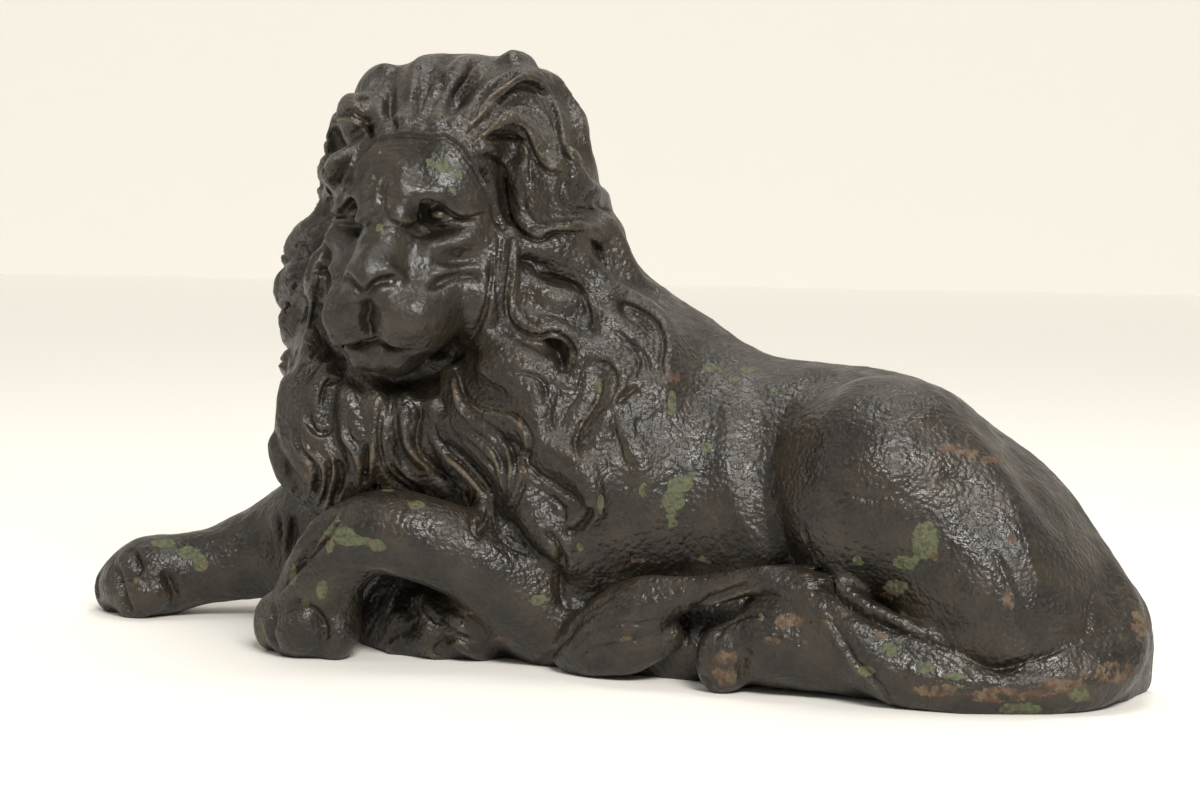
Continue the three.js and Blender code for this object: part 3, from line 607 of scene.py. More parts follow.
mane = {
    "farOverlaps": [
        ([(620, 375), (560, 420), (530, 520), (520, 620), (490, 720), (450, 780)], 0.7, 1.6),
        ([(560, 690), (500, 740), (500, 830), (520, 900), (480, 960)], 0.7, 1.6),
        ([(475, 1000), (420, 1090), (385, 1200), (355, 1290)], 0.7, 1.6),
        ([(560, 880), (520, 960), (500, 1060), (440, 1180), (400, 1290)], 0.6, 1.3),
        ([(600, 1420), (520, 1500), (460, 1560), (400, 1640), (365, 1710)], 0.6, 1.6),
    ],
    "farCreases": [
        ([(580, 740), (520, 745), (480, 770)], 2.0, 1.8),
        ([(545, 1210), (500, 1300), (430, 1330), (380, 1385)], 2.2, 2.4),
        ([(590, 760), (570, 860), (590, 960), (610, 1040)], 2.0, 1.4),
        ([(560, 1100), (545, 1200), (560, 1300), (600, 1400)], 2.0, 1.6),
        ([(440, 1440), (400, 1520), (380, 1560)], 1.8, 1.2),
    ],
    "crownOverlaps": [
        # hairline
        ([(488, 662), (520, 622), (620, 592), (720, 586), (800, 596), (900, 600), (935, 598),
          (1000, 640), (1042, 672), (1065, 712), (1110, 772), (1150, 860), (1185, 960)], 0.9, 0.9),
    ],
    "crownCreases": [
        ([(608, 320), (604, 400), (600, 480), (615, 550), (640, 585)], 3.6, 4.2),
        ([(905, 225), (886, 300), (856, 370), (826, 450), (797, 520), (784, 588)], 3.4, 4.2),
        ([(1110, 180), (1070, 260), (1020, 330), (985, 400)], 3.4, 3.0),
        ([(1365, 215), (1290, 252), (1212, 312), (1142, 382), (1090, 450)], 3.0, 3.2),
        ([(1130, 585), (1200, 492), (1270, 430), (1340, 372), (1420, 332), (1500, 370),
          (1550, 440)], 3.0, 3.2),
        ([(250, 502), (350, 455), (430, 490), (480, 560), (488, 625)], 2.8, 3.4),
        ([(400, 395), (480, 360), (575, 358)], 2.8, 2.8),
        ([(760, 170), (800, 210), (870, 215)], 2.4, 1.4),
        ([(700, 330), (695, 420), (705, 500)], 1.3, 0.7),
        ([(960, 420), (945, 500), (930, 560)], 1.3, 0.7),
        ([(1060, 420), (1030, 500), (1010, 570)], 1.3, 0.7),
        ([(380, 830), (330, 920), (280, 1000)], 2.0, 1.6),
    ],
    "crownRidges": [
        ([(690, 130), (655, 180), (646, 240), (640, 320), (634, 400)], 1.5, 0.9),
        ([(882, 275), (842, 345), (814, 425), (790, 495), (764, 575)], 1.3, 0.8),
        ([(1400, 235), (1320, 272), (1260, 322), (1180, 392), (1100, 462)], 1.5, 0.9),
        # rim of the far ear
        ([(240, 532), (330, 516), (400, 530), (450, 580), (480, 640)], 1.7, 1.1),
        ([(1050, 680), (1110, 640), (1160, 590), (1230, 520), (1290, 460), (1350, 430)], 1.3, 0.8),
        ([(255, 610), (262, 660), (262, 700)], 7.5, -6.0),  # hollow of the far ear
        ([(720, 250), (715, 400), (705, 540)], 4.5, 1.2),
        ([(930, 330), (900, 450), (870, 560)], 4.5, 1.2),
        ([(530, 420), (540, 500), (570, 570)], 4.5, 1.2),
        ([(1040, 420), (1000, 510), (970, 580)], 4.0, 1.0),
    ],
    "panelOverlaps": [
        ([(245, 445), (330, 360), (400, 290), (480, 225), (545, 205), (620, 245), (680, 340),
          (700, 440), (720, 540), (770, 600), (870, 610)], 1.0, 2.6),
        ([(655, 520), (650, 450), (600, 370), (520, 332), (440, 345), (340, 430),
          (225, 525)], 0.7, 1.6),
        ([(350, 470), (410, 440), (470, 425), (525, 450), (560, 520), (600, 600), (650, 645),
          (700, 655), (725, 710), (722, 780), (765, 830), (870, 842)], 0.8, 1.8),
        ([(545, 720), (540, 640), (535, 560), (510, 520), (440, 510), (340, 505)], 0.6, 1.2),
        ([(260, 580), (340, 570), (400, 600), (435, 660), (440, 740), (450, 820), (480, 900),
          (530, 960), (600, 985), (660, 955), (760, 955), (870, 940)], 1.0, 2.4),
    ],
    "panelCreases": [
        ([(285, 620), (340, 700), (370, 790), (385, 870), (430, 940), (500, 975)], 3.0, 3.4),
        ([(345, 485), (420, 492), (505, 500)], 2.2, 2.6),
        ([(500, 700), (515, 740), (520, 830), (550, 890), (610, 925), (720, 912),
          (860, 872)], 1.5, 1.5),
        ([(400, 310), (480, 250), (560, 240), (625, 300), (660, 400)], 2.2, 1.6),
        ([(240, 370), (330, 280), (400, 230), (480, 180)], 1.6, 1.4),
        ([(10, 460), (30, 360), (60, 280), (90, 220), (140, 140)], 1.6, 1.6),
        ([(880, 745), (845, 785), (830, 820)], 1.8, 1.4),
        ([(870, 800), (900, 840), (960, 850)], 1.6, 1.2),
        ([(700, 870), (780, 858), (860, 850)], 1.3, 0.9),
    ],
    "neckOverlaps": [
        ([(380, 240), (400, 285), (470, 300), (540, 330), (585, 375), (600, 430),
          (605, 480)], 0.8, 1.9),
        ([(300, 150), (295, 260), (283, 350), (275, 430), (295, 490), (340, 520), (400, 532),
          (450, 518), (505, 540), (543, 590), (545, 640), (525, 690)], 0.8, 1.9),
        ([(600, 145), (650, 200), (670, 270), (710, 330), (760, 335), (840, 325), (890, 350),
          (910, 390)], 0.8, 1.6),
        ([(720, 405), (790, 425), (850, 460), (890, 510), (905, 590), (895, 650),
          (905, 710)], 0.7, 1.5),
        ([(620, 635), (680, 650), (712, 700), (710, 750), (690, 800)], 0.7, 1.5),
        ([(300, 680), (360, 685), (410, 710), (435, 750), (430, 810)], 0.7, 1.5),
        ([(350, 1090), (340, 1040), (352, 980), (340, 920), (290, 868), (220, 850), (150, 832),
          (90, 765), (60, 690)], 1.0, 1.8),
        ([(550, 1212), (520, 1190), (460, 1150), (400, 1110), (350, 1060)], 0.8, 1.6),
    ],
    "neckCreases": [
        ([(240, 130), (236, 250), (230, 350), (238, 440)], 1.6, 1.3),
        # behind the cheek
        ([(210, 230), (205, 330), (190, 420), (150, 510), (110, 580)], 2.2, 2.6),
        ([(335, 380), (330, 430), (350, 480), (400, 505)], 1.5, 1.3),
        ([(430, 560), (470, 600), (490, 640), (495, 690)], 3.4, 4.1),
        ([(700, 520), (760, 570), (810, 610), (832, 650), (838, 700)], 1.5, 1.4),
        ([(720, 560), (775, 600), (795, 640), (780, 690), (755, 730)], 1.5, 1.4),
        ([(640, 700), (640, 750), (628, 795), (592, 852), (558, 905), (541, 965),
          (555, 1035)], 1.7, 2.3),
        ([(600, 660), (572, 700), (555, 760), (512, 830), (478, 900)], 1.4, 1.2),
        ([(700, 812), (740, 778), (792, 742)], 2.4, 2.9),
        ([(690, 830), (695, 900), (715, 980), (740, 1050), (800, 1055)], 1.6, 1.7),
        ([(100, 870), (170, 890), (230, 930), (280, 990), (300, 1060), (290, 1130),
          (270, 1200)], 1.3, 1.6),
        ([(80, 900), (140, 930), (200, 980), (245, 1050), (260, 1120), (255, 1200)], 1.3, 1.6),
        ([(60, 930), (120, 970), (180, 1030), (225, 1090), (240, 1150), (245, 1230)], 1.3, 1.6),
        ([(0, 960), (60, 1000), (120, 1050), (180, 1110), (205, 1170), (210, 1240), (225, 1300),
          (260, 1360), (320, 1400), (380, 1420)], 1.8, 2.4),
        ([(350, 1100), (330, 1150), (300, 1210), (270, 1270)], 2.0, 2.4),
        ([(490, 1320), (540, 1325), (580, 1280), (612, 1230)], 2.8, 3.6),
        ([(440, 1180), (490, 1230), (495, 1290)], 1.8, 1.9),
        ([(140, 1160), (130, 1230), (140, 1290), (165, 1335)], 1.4, 1.7),
        ([(165, 1320), (190, 1260), (180, 1200)], 1.8, 2.2),
        ([(420, 1320), (470, 1370), (490, 1430), (500, 1480)], 2.6, 2.9),
        ([(0, 1060), (50, 1110), (100, 1150), (120, 1200)], 1.8, 2.2),
        ([(800, 870), (790, 910), (800, 950)], 1.4, 1.0),
    ],
    "beardRidges": [
        ([(150, 500), (165, 580), (215, 640), (250, 700), (250, 760), (230, 820), (190, 880),
          (165, 940), (170, 1000)], 1.8, 1.8),
        ([(190, 520), (225, 590), (280, 640), (315, 690), (318, 760), (300, 830),
          (260, 900)], 1.8, 1.8),
        ([(205, 400), (208, 450), (240, 510), (290, 545), (345, 530)], 1.8, 1.5),
        ([(320, 620), (355, 650), (362, 720), (345, 790), (330, 860), (290, 930)], 1.8, 1.8),
        ([(400, 460), (415, 540), (455, 600), (478, 650), (492, 720), (494, 800)], 1.8, 2.0),
        ([(545, 560), (552, 620), (550, 690), (545, 740)], 1.8, 1.9),
        ([(640, 560), (650, 620), (690, 690), (760, 740), (840, 790)], 1.9, 1.8),
        ([(615, 640), (650, 715), (740, 785), (800, 815)], 1.5, 1.4),
        ([(715, 400), (712, 460), (725, 560), (755, 620), (805, 670), (850, 690)], 2.4, 2.2),
        ([(920, 640), (985, 690), (1040, 740), (1090, 790)], 2.0, 1.8),
        ([(955, 240), (965, 320), (1000, 410), (1060, 470)], 2.0, 1.6),
        ([(1120, 560), (1170, 650), (1190, 740), (1190, 830)], 1.6, 1.4),
        ([(1180, 520), (1230, 620), (1245, 720), (1230, 830)], 1.8, 1.6),
    ],
    "beardCreases": [
        ([(330, 640), (335, 700), (325, 790), (295, 870), (250, 930)], 2.0, 2.4),
        ([(170, 510), (195, 590), (250, 650), (285, 710), (285, 780), (262, 850),
          (215, 920)], 1.4, 1.8),
        ([(235, 400), (235, 450), (255, 495), (300, 518), (350, 500)], 1.7, 2.4),
        ([(372, 640), (390, 720), (380, 790), (350, 850)], 2.2, 3.2),
        ([(425, 470), (445, 540), (500, 580)], 1.5, 1.6),
        ([(512, 560), (522, 640), (515, 720), (508, 790)], 2.0, 3.2),
        ([(600, 380), (590, 480), (588, 580), (605, 650), (650, 730), (720, 780), (790, 820),
          (870, 860)], 1.8, 2.3),
        ([(670, 400), (668, 500), (690, 600), (725, 665), (800, 725)], 1.9, 2.3),
        ([(800, 400), (785, 480), (782, 560), (800, 620), (842, 665), (900, 720),
          (960, 765)], 2.2, 3.2),
        ([(860, 470), (875, 540), (930, 610), (1000, 670), (1060, 740), (1110, 800),
          (1130, 870)], 1.8, 2.6),
        ([(920, 440), (960, 520), (1020, 590), (1085, 660), (1140, 740), (1155, 830)], 1.4, 1.6),
        ([(990, 240), (1010, 320), (1050, 400), (1110, 440)], 1.8, 2.4),
        # over the forearm
        ([(560, 790), (680, 825), (800, 855), (900, 885), (1020, 890)], 3.0, 3.8),
        ([(1060, 860), (1045, 940), (1060, 1010), (1100, 1050)], 1.6, 2.0),
        ([(345, 240), (312, 290), (292, 380)], 1.8, 2.0),
        ([(430, 160), (390, 240), (300, 270)], 1.8, 1.6),
        ([(110, 640), (130, 700), (125, 760)], 2.2, 2.2),
    ],
    # plainer curls on the far side, in rows from the crown down, in mm
    "farCurls": {
        "levels": (182, 160, 138, 116, 94, 72),
        "steps": 3,  # curls in a row
        "start": -34,
        "pitch": 20,
        "stagger": 8,
        "lift": 5,
        "drop": 4,
        "lock": [(0, 0), (-9, 3), (-17, -3), (-20, -12), (-29, -15)],
        "lockHeights": (0.8, 1.7),
        "furrow": [(-4, -6), (-11, -6), (-15, -13), (-22, -19)],
        "furrowSize": (1.7, 1.3),
    },
}


def farCurls():
    curls = mane["farCurls"]
    overlaps, creases = [], []
    for row, level in enumerate(curls["levels"]):
        for step in range(curls["steps"]):
            s = curls["start"] - curls["pitch"] * step - curls["stagger"] * (row % 2)
            t = level + curls["lift"] - curls["drop"] * step
            lock = [(s + x, t + y) for x, y in curls["lock"]]
            furrow = [(s + x, t + y) for x, y in curls["furrow"]]
            overlaps.append((lock, *curls["lockHeights"]))
            creases.append((furrow, *curls["furrowSize"]))
    return overlaps, creases


def carveMane(form):
    form = overlap(form, "far", mane["farOverlaps"])
    form = crease(form, "far", mane["farCreases"])
    form = overlap(form, "crown", mane["crownOverlaps"])
    form = crease(form, "crown", mane["crownCreases"])
    form = swell(form, "crown", mane["crownRidges"])
    form = overlap(form, "panel", mane["panelOverlaps"])
    form = crease(form, "panel", mane["panelCreases"])
    form = overlap(form, "neck", mane["neckOverlaps"])
    form = swell(form, "beard", mane["beardRidges"])
    form = crease(form, "neck", mane["neckCreases"])
    form = crease(form, "beard", mane["beardCreases"])
    overlaps, creases = farCurls()
    form = overlap(form, "side", overlaps)
    return crease(form, "side", creases)


# Haunch, legs, paws and tail

limbs = {
    "haunch": [
        ([(758, 98), (700, 122), (652, 155), (628, 195), (617, 250), (621, 330), (641, 400),
          (670, 460), (700, 530), (732, 600), (790, 655), (850, 700)], 1.8, 3.4),  # in front
    ],
    "flankStep": (3.6, 18.0),  # mm, how far the flank is set back from the haunch, and how wide
    "haunchFurrow": (2.8, 3.0),  # mm, half its width and its depth
    "overlaps": [
        ([(700, 582), (600, 597), (520, 612), (420, 642), (330, 646), (230, 632), (150, 670),
          (100, 722), (62, 790)], 0.7, 1.6),  # tail and tuft, above
        ([(1400, 790), (1300, 830), (1200, 852), (1100, 820), (1000, 772), (930, 750), (870, 722),
          (800, 690), (755, 645)], 0.7, 2.4),  # tail, along the thigh
        ([(560, 640), (480, 668), (400, 705), (340, 770), (285, 835)], 0.6, 2.4),  # tail, beneath
        ([(405, 800), (415, 750), (470, 682), (550, 655), (650, 657)], 0.5, 0.3),  # heel
        # tail over the hind foot
        ([(920, 952), (868, 892), (818, 842), (780, 782), (742, 705)], 0.6, 1.6),
    ],
    "hindCreases": [
        ([(770, 648), (840, 695), (920, 738), (1010, 765), (1100, 800), (1180, 848), (1260, 852),
          (1340, 822)], 5.5, 3.4),  # between thigh and tail
        ([(690, 480), (715, 560), (760, 625)], 2.0, 1.6),
        ([(1175, 535), (1206, 600), (1236, 680), (1256, 740), (1276, 790)], 2.6, 1.1),
        ([(800, 392), (850, 412), (905, 402)], 2.2, 0.9),
        ([(1030, 372), (1075, 360), (1115, 375)], 2.2, 0.8),
        ([(545, 800), (528, 835), (530, 880), (548, 925)], 3.4, 1.8),
        ([(452, 795), (482, 742), (560, 712), (610, 722)], 1.8, 1.3),
        ([(1436, 640), (1430, 720), (1418, 785)], 2.4, 1.2),
        ([(70, 832), (112, 772), (172, 742), (262, 738), (320, 722)], 1.5, 1.0),
        ([(84, 842), (144, 802), (222, 790), (290, 770)], 1.5, 1.0),
        ([(60, 812), (96, 748), (160, 702), (240, 680)], 1.5, 0.9),
        ([(420, 870), (440, 900), (448, 925)], 1.6, 1.2),
    ],
    "toes": [
        ([(82, 345), (84, 362)], 8.5, 1.8),  # far paw
        ([(200, 372), (216, 384)], 9.5, 2.2),
        ([(135, 265), (140, 275)], 6.0, 1.3),
        ([(215, 245), (240, 250)], 7.0, 1.2),
        ([(650, 482), (656, 496)], 11.0, 2.2),  # near paw
        ([(556, 452), (562, 470)], 6.0, 1.4),
        ([(690, 385), (700, 395)], 9.0, 1.0),
    ],
    "legStrands": [  # hair of the beard that hangs between the forelegs
        ([(606, 122), (624, 170), (620, 230), (604, 292)], 4.0, 2.4),  # over the far foreleg
        ([(572, 128), (590, 180), (588, 240)], 4.0, 1.8),
        ([(768, 106), (705, 172), (660, 238), (622, 312)], 4.0, 2.2),  # beside the near wrist
    ],
    "wrist": [  # its edge against that hair
        ([(800, 112), (745, 202), (690, 260), (632, 325), (592, 376)], 1.0, 2.4),
    ],
    "wristFurrow": (2.4, 2.6),
    "legCreases": [
        ([(786, 102), (725, 182), (676, 246), (628, 318)], 1.8, 2.2),  # hair beside the near wrist
        ([(598, 130), (610, 180), (606, 240), (592, 286)], 1.8, 2.4),
        ([(640, 128), (642, 190), (630, 250)], 1.8, 2.4),
        ([(112, 290), (120, 350), (134, 400), (152, 436)], 3.2, 4.2),  # far paw's toes
        ([(150, 236), (178, 285), (165, 322), (130, 320)], 2.8, 2.6),
        ([(252, 300), (275, 345), (285, 385), (272, 412)], 3.6, 3.0),
        ([(62, 290), (50, 340), (56, 390)], 2.0, 1.4),
        ([(575, 392), (580, 440), (574, 490), (590, 538)], 2.8, 2.8),  # near paw's toes
        ([(600, 425), (660, 405), (712, 430), (732, 480), (722, 545)], 3.4, 2.4),
        # hair under the forearm
        ([(905, 572), (922, 510), (985, 475), (1012, 440), (1002, 395)], 2.2, 2.0),
        ([(1082, 576), (1070, 535), (1130, 502), (1195, 512)], 2.2, 2.0),
        ([(1020, 400), (1062, 445), (1140, 500), (1200, 545)], 2.2, 1.8),
        ([(860, 520), (890, 450), (940, 400)], 1.5, 1.0),
        ([(1200, 150), (1206, 200)], 3.0, 3.2),
        ([(1452, 240), (1440, 300), (1448, 380), (1470, 430)], 4.0, 2.2),
        ([(1350, 592), (1400, 562), (1460, 500), (1500, 440), (1560, 400), (1610, 372)], 2.2, 1.8),
    ],
    "legRidges": [
        ([(832, 335), (862, 294), (922, 292), (1000, 334), (1100, 402), (1200, 462),
          (1300, 532)], 2.2, 1.4),
        ([(320, 372), (400, 352), (500, 380)], 3.0, 0.6),
        ([(150, 345), (185, 312), (235, 312), (262, 340)], 3.0, 0.9),
        ([(600, 470), (650, 450), (705, 470)], 5.0, 0.9),
    ],
}


def carveLimbs(form):
    haunch = [points for points, _, _ in limbs["haunch"]]
    wrist = [points for points, _, _ in limbs["wrist"]]
    flank = [(points[::-1], *limbs["flankStep"]) for points in haunch]
    form = stepBack(form, "hind", flank, ends=0.0)
    form = overlap(form, "hind", limbs["haunch"], kind=bulk)
    form = crease(form, "hind", [(points, *limbs["haunchFurrow"]) for points in haunch])
    form = overlap(form, "hind", limbs["overlaps"], kind=flesh)
    form = crease(form, "hind", limbs["hindCreases"])
    form = swell(form, "legs", limbs["toes"])
    form = swell(form, "legs", limbs["legStrands"])
    form = overlap(form, "legs", limbs["wrist"], kind=flesh)
    form = crease(form, "legs", [(points, *limbs["wristFurrow"]) for points in wrist])
    form = crease(form, "legs", limbs["legCreases"])
    return swell(form, "legs", limbs["legRidges"])


# Lumps that the sand mould and the brushed paint leave: (size, height) in mm

lumps = ((14.0, 0.45), (6.0, 0.24), (3.2, 0.12))


def roughen(form):
    places, normals = form["places"], form["normals"]
    for size, height in lumps:
        lift = np.fromiter((noise.noise(Vector(p) / size) for p in places), float, len(places))
        places += normals * (lift * height)[:, None]
    return writeForm(form)


# Keeps the flat back and the flat underside flat.
def trim(form):
    low, high = np.array(cadBox[0]) / mm, np.array(cadBox[1]) / mm
    form["places"][:, 2] = form["places"][:, 2].clip(low[2])
    form["places"][:, 1] = form["places"][:, 1].clip(None, high[1])
    return writeForm(form)


def finishPiece(form):
    piece = form["piece"]
    selectOnly(piece)
    triangles = 2 * len(piece.data.polygons)
    applyModifier("DECIMATE", ratio=min(1.0, casting["faces"] / triangles))
    bpy.ops.object.shade_smooth()
    return piece


# Worn spots, as places in the photograph: (x, y, half width, half height) in its pixels

wear = {
    "green": [
        (430, 162, 6, 4), (441, 166, 9, 4.5), (446, 160, 3, 5), (444, 171, 6, 3),
        (458, 175, 4.5, 4.5), (453, 192, 3.5, 6), (373, 178, 2.5, 4), (381, 152, 2.5, 1.8),
        (378, 227, 6, 4), (384, 232, 3, 3), (692, 473, 6, 6), (680, 484, 15, 10),
        (673, 500, 13, 14), (673, 519, 6, 11), (642, 492, 4, 9), (672, 404, 5, 17),
        (707, 448, 8, 6), (709, 367, 8, 5), (748, 369, 10, 4), (736, 378, 5, 4), (774, 390, 5, 3),
        (925, 540, 15, 21), (905, 563, 13, 8), (896, 587, 14, 8), (857, 560, 5, 6),
        (890, 650, 8, 8), (867, 671, 10, 6), (925, 668, 10, 7), (955, 676, 14, 5),
        (1020, 709, 26, 7), (1080, 695, 12, 8), (761, 618, 3, 6), (340, 533, 17, 7),
        (330, 546, 5, 9), (357, 541, 20, 5), (378, 546, 9, 7), (322, 590, 7, 11), (306, 602, 5, 4),
        (262, 637, 4, 14), (163, 543, 13, 5), (190, 553, 13, 8), (200, 563, 9, 9), (537, 600, 8, 7),
        (416, 505, 10, 5), (388, 489, 6, 3), (601, 505, 4, 11), (580, 548, 4, 6), (544, 602, 3, 8),
        (599, 386, 4, 9), (427, 656, 13, 3), (293, 575, 4, 12),
    ],
    "rust": [
        (674, 378, 7, 8), (948, 448, 16, 5), (994, 460, 20, 4), (970, 452, 12, 5), (455, 187, 3, 3),
        (790, 621, 16, 10), (772, 604, 15, 3), (772, 641, 10, 6), (725, 668, 14, 22),
        (1008, 602, 6, 16), (1140, 625, 10, 17), (350, 536, 12, 5), (930, 555, 14, 8),
        (890, 595, 12, 5), (1012, 540, 5, 9), (940, 690, 30, 7), (1000, 695, 40, 9),
        (1060, 690, 36, 12), (1110, 672, 30, 12), (880, 636, 10, 5), (137, 580, 4, 3),
        (117, 575, 3, 3), (171, 597, 3, 3), (260, 604, 4, 3), (465, 612, 10, 3), (500, 640, 14, 3),
        (435, 480, 8, 3), (305, 480, 4, 9), (625, 640, 8, 3), (520, 420, 3, 8), (706, 560, 12, 4),
        (640, 560, 10, 4),
    ],
    "core": 1.6,  # the value in the middle of a spot; it falls to 0.6 at the drawn edge
    "reach": 28.0,  # mm, so that a spot stays off what lies behind it
    "calm": (402, 248, 80, 115),  # the face, whose paint is smoother
    "calmCore": 1.5,
    "shortestEdge": 0.05,  # mm
    "ridgeSmoothing": 2,
}


def storeValues(piece, name, values):
    layer = piece.data.attributes.new(name, "FLOAT", "POINT")
    layer.data.foreach_set("value", values.astype(np.float32))


# Writes on every vertex how near it is to a worn spot, and how much it stands out as a ridge.
def markWear(piece):
    form = readForm(piece)
    places, pixels = form["places"], inPhotograph(form["places"])
    for name in ("green", "rust"):
        value = np.zeros(len(places))
        for x, y, w, h in wear[name]:
            start, into = raysOf("whole", np.array(((x, y),)))
            spot = form["tree"].ray_cast(Vector(start[0]), Vector(into[0]))[0]
            if spot is not None:
                gap = np.hypot((pixels[:, 0] - x) / w, (pixels[:, 1] - y) / h)
                close = np.linalg.norm(places - np.array(spot), axis=1) < wear["reach"]
                value = np.maximum(value, np.where(close, wear["core"] - gap ** 2, 0))
        storeValues(piece, name, value)
    x, y, w, h = wear["calm"]
    gap = np.hypot((pixels[:, 0] - x) / w, (pixels[:, 1] - y) / h)
    storeValues(piece, "calm", (wear["calmCore"] - gap).clip(0, 1))
    # the ridge value also sets where the paint is lightened: painted highlight on ridges, partly
    # real rubbing
    storeValues(piece, "ridge", ridges(piece, form))


# How far each vertex stands out from its neighbours: above 0 on a ridge, below 0 in a furrow.
def ridges(piece, form):
    places, normals = form["places"], form["normals"]
    edges = np.zeros(2 * len(piece.data.edges), np.int64)
    piece.data.edges.foreach_get("vertices", edges)
    a, b = edges.reshape(-1, 2).T
    count = np.bincount(edges, minlength=len(places)).clip(1)
    gap = places[b] - places[a]
    length = np.linalg.norm(gap, axis=1).clip(wear["shortestEdge"])
    ridge = np.zeros(len(places))
    np.add.at(ridge, a, -(gap * normals[a]).sum(1) / length)
    np.add.at(ridge, b, (gap * normals[b]).sum(1) / length)
    ridge /= count
    for _ in range(wear["ridgeSmoothing"]):
        around = np.bincount(a, ridge[b], len(places)) + np.bincount(b, ridge[a], len(places))
        ridge = (ridge + around / count) / 2
    return ridge


# Cast iron under thick brushed black paint, semi-gloss, browned by dust and age, chipped through to
# an older green paint and to red-brown rust.

paint = {
    "black": "#191510",
    "dusty": "#30291e",
    "wornAndHighlight": "#675b47",  # on ridges: painted highlight, partly real rubbing by hands and brooms
    "oldGreen": "#50553a",
    "darkGreen": "#3a3e2b",
    "rust": "#523a2a",
    "paleRust": "#6c5b44",
    "gloss": (0.3, 0.52),  # roughness, from glossy to dull
    "bareRoughness": 0.7,  # where the paint is off
    "shares": {"specks": 0.4, "rubbedAndHighlight": 0.6, "rust": 0.7, "flecks": 0.55},  # how far each covers
    "fullRust": 1.05,  # where a rust spot is at its fullest, so that it is broken up all over
}

# Noise: size of its spots in mm, detail, roughness, the two limits between which it sets in, and
# where it breaks up a stored value, by how much.

patterns = {
    "dust": (16, 5.0, 0.65, (0.38, 0.66)),
    "specks": (1.7, 3.0, 0.6, (0.5, 0.64)),
    "rubbedAndHighlight": (2.2, 3.0, 0.55, (0.12, 0.36), 0.16),
    "rust": (4.2, 6.0, 0.75, (2.6, 2.85), 3.6),
    "flecks": (1.9, 4.0, 0.7, (0.69, 0.74)),
    "paleRust": (3.5, 3.0, 0.55, (0.42, 0.62)),
    "chips": (4.0, 6.0, 0.72, (1.6, 1.66), 1.8),
    "darkGreen": (1.6, 4.0, 0.55, (0.45, 0.62)),
    "rustInGreen": (2.4, 4.0, 0.7, (0.56, 0.64)),
    "gloss": (7, 4.0, 0.6, (0.35, 0.65)),
    "peel": (1.2, 1.0, 0.5),
}

# Orange peel of thick paint over sand-cast iron: small round bumps

bumps = {
    "pebble": 2.1,  # mm
    "softness": 0.6,
    "pebbleShare": 1.1,
    "chipDepth": 0.8,  # a chip lies a little deeper
    "strength": 0.75,
    "calmer": 0.42,  # what the smoother face takes off the strength
    "height": 0.5,  # mm
}


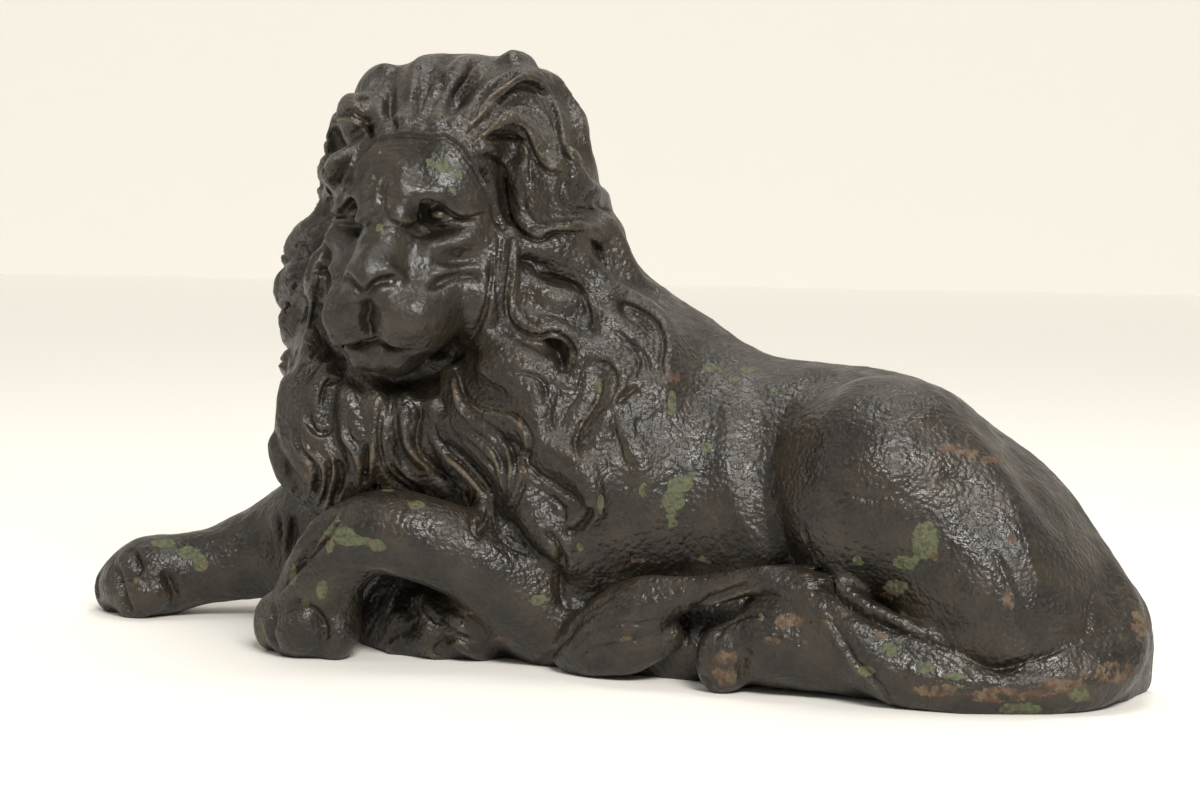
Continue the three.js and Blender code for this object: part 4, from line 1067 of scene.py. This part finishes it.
def paintedIron():
    material = bpy.data.materials.new("black painted cast iron")
    material.use_nodes = True
    nodes = material.node_tree.nodes
    shader = nodes["Principled BSDF"]
    place = addNode(nodes, "ShaderNodeTexCoord").outputs["Object"]

    def clouds(name):
        size, detail, roughness = patterns[name][:3]
        return addNode(nodes, "ShaderNodeTexNoise", {
            "Vector": place, "Scale": 1 / (size * mm), "Detail": detail,
            "Roughness": roughness}).outputs["Fac"]

    def between(value, limits, reached=(0, 1), curve="SMOOTHSTEP"):
        return addNode(nodes, "ShaderNodeMapRange", {
            "Value": value, "From Min": limits[0], "From Max": limits[1],
            "To Min": reached[0], "To Max": reached[1]}, interpolation_type=curve).outputs["Result"]

    def joined(a, b, operation="ADD"):
        return addNode(nodes, "ShaderNodeMath", {0: a, 1: b}, operation=operation).outputs["Value"]

    def times(a, b):
        return joined(a, b, "MULTIPLY")

    def over(below, colour, share):
        inputs = {"Color1": below, "Color2": colour, "Fac": share}
        return addNode(nodes, "ShaderNodeMixRGB", inputs).outputs["Color"]

    def stored(name):
        return addNode(nodes, "ShaderNodeAttribute", attribute_name=name).outputs["Fac"]

    def patches(name):
        return between(clouds(name), patterns[name][3])

    def broken(value, name):  # patches where a stored value is high, with broken edges
        limits, weight = patterns[name][3:]
        return between(joined(value, times(clouds(name), weight)), limits)

    tone = {name: linear(paint[name]) for name in (
        "black", "dusty", "wornAndHighlight", "oldGreen", "darkGreen", "rust", "paleRust")}
    shares = paint["shares"]
    # dust and age: a slow change from black to brown
    colour = over(tone["black"], tone["dusty"], patches("dust"))
    colour = over(colour, tone["dusty"], times(patches("specks"), shares["specks"]))
    # ridges lightened: painted highlight, partly real rubbing, broken up
    rubbedAndHighlight = broken(stored("ridge"), "rubbedAndHighlight")
    colour = over(colour, tone["wornAndHighlight"], times(rubbedAndHighlight, shares["rubbedAndHighlight"]))
    # a brown bloom of rust, and paler where it is oldest
    rusty = broken(joined(stored("rust"), paint["fullRust"], "MINIMUM"), "rust")
    flecks = patches("flecks")
    rust = over(tone["rust"], tone["paleRust"], patches("paleRust"))
    colour = over(colour, rust, times(rusty, shares["rust"]))
    colour = over(colour, rust, times(flecks, shares["flecks"]))
    # chips down to the old green paint, with torn edges
    chipped = broken(stored("green"), "chips")
    green = over(tone["oldGreen"], tone["darkGreen"], patches("darkGreen"))
    green = over(green, rust, patches("rustInGreen"))
    colour = over(colour, green, chipped)
    bare = joined(joined(rusty, flecks, "MAXIMUM"), chipped, "MAXIMUM")
    gloss = between(clouds("gloss"), patterns["gloss"][3], paint["gloss"], "LINEAR")
    rough = addNode(nodes, "ShaderNodeMix", {
        "Factor": bare, "A": gloss, "B": paint["bareRoughness"]}).outputs["Result"]
    pebbles = addNode(nodes, "ShaderNodeTexVoronoi", {
        "Vector": place, "Scale": 1 / (bumps["pebble"] * mm), "Smoothness": bumps["softness"],
    }, feature="SMOOTH_F1").outputs["Distance"]
    peel = joined(clouds("peel"), times(pebbles, bumps["pebbleShare"]), "SUBTRACT")
    height = joined(peel, times(chipped, bumps["chipDepth"]), "SUBTRACT")
    strength = joined(bumps["strength"], times(stored("calm"), bumps["calmer"]), "SUBTRACT")
    bump = addNode(nodes, "ShaderNodeBump", {
        "Height": height, "Strength": strength, "Distance": bumps["height"] * mm})
    links = nodes.id_data.links
    links.new(colour, shader.inputs["Base Color"])
    links.new(rough, shader.inputs["Roughness"])
    links.new(bump.outputs["Normal"], shader.inputs["Normal"])
    return material


print("camera and studio")
addCamera()
addStudio()
print("taking the casting")
form = readForm(takeCasting())
form["places"] += form["normals"] * casting["swelling"]
form = writeForm(form, newTree=True)
print("face", len(form["places"]))
form = carveFace(form)
print("mane")
form = carveMane(writeForm(form, newTree=True))
print("limbs")
form = carveLimbs(form)
print("skin")
form = trim(roughen(form))
lion = finishPiece(form)
print("lion", len(lion.data.polygons))
markWear(lion)
lion.data.materials.append(paintedIron())
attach(lion, "root")
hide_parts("lion")

# the plain transform keeps the pale paper and the dark paint at the photograph's brightness
bpy.context.scene.view_settings.view_transform = "Standard"
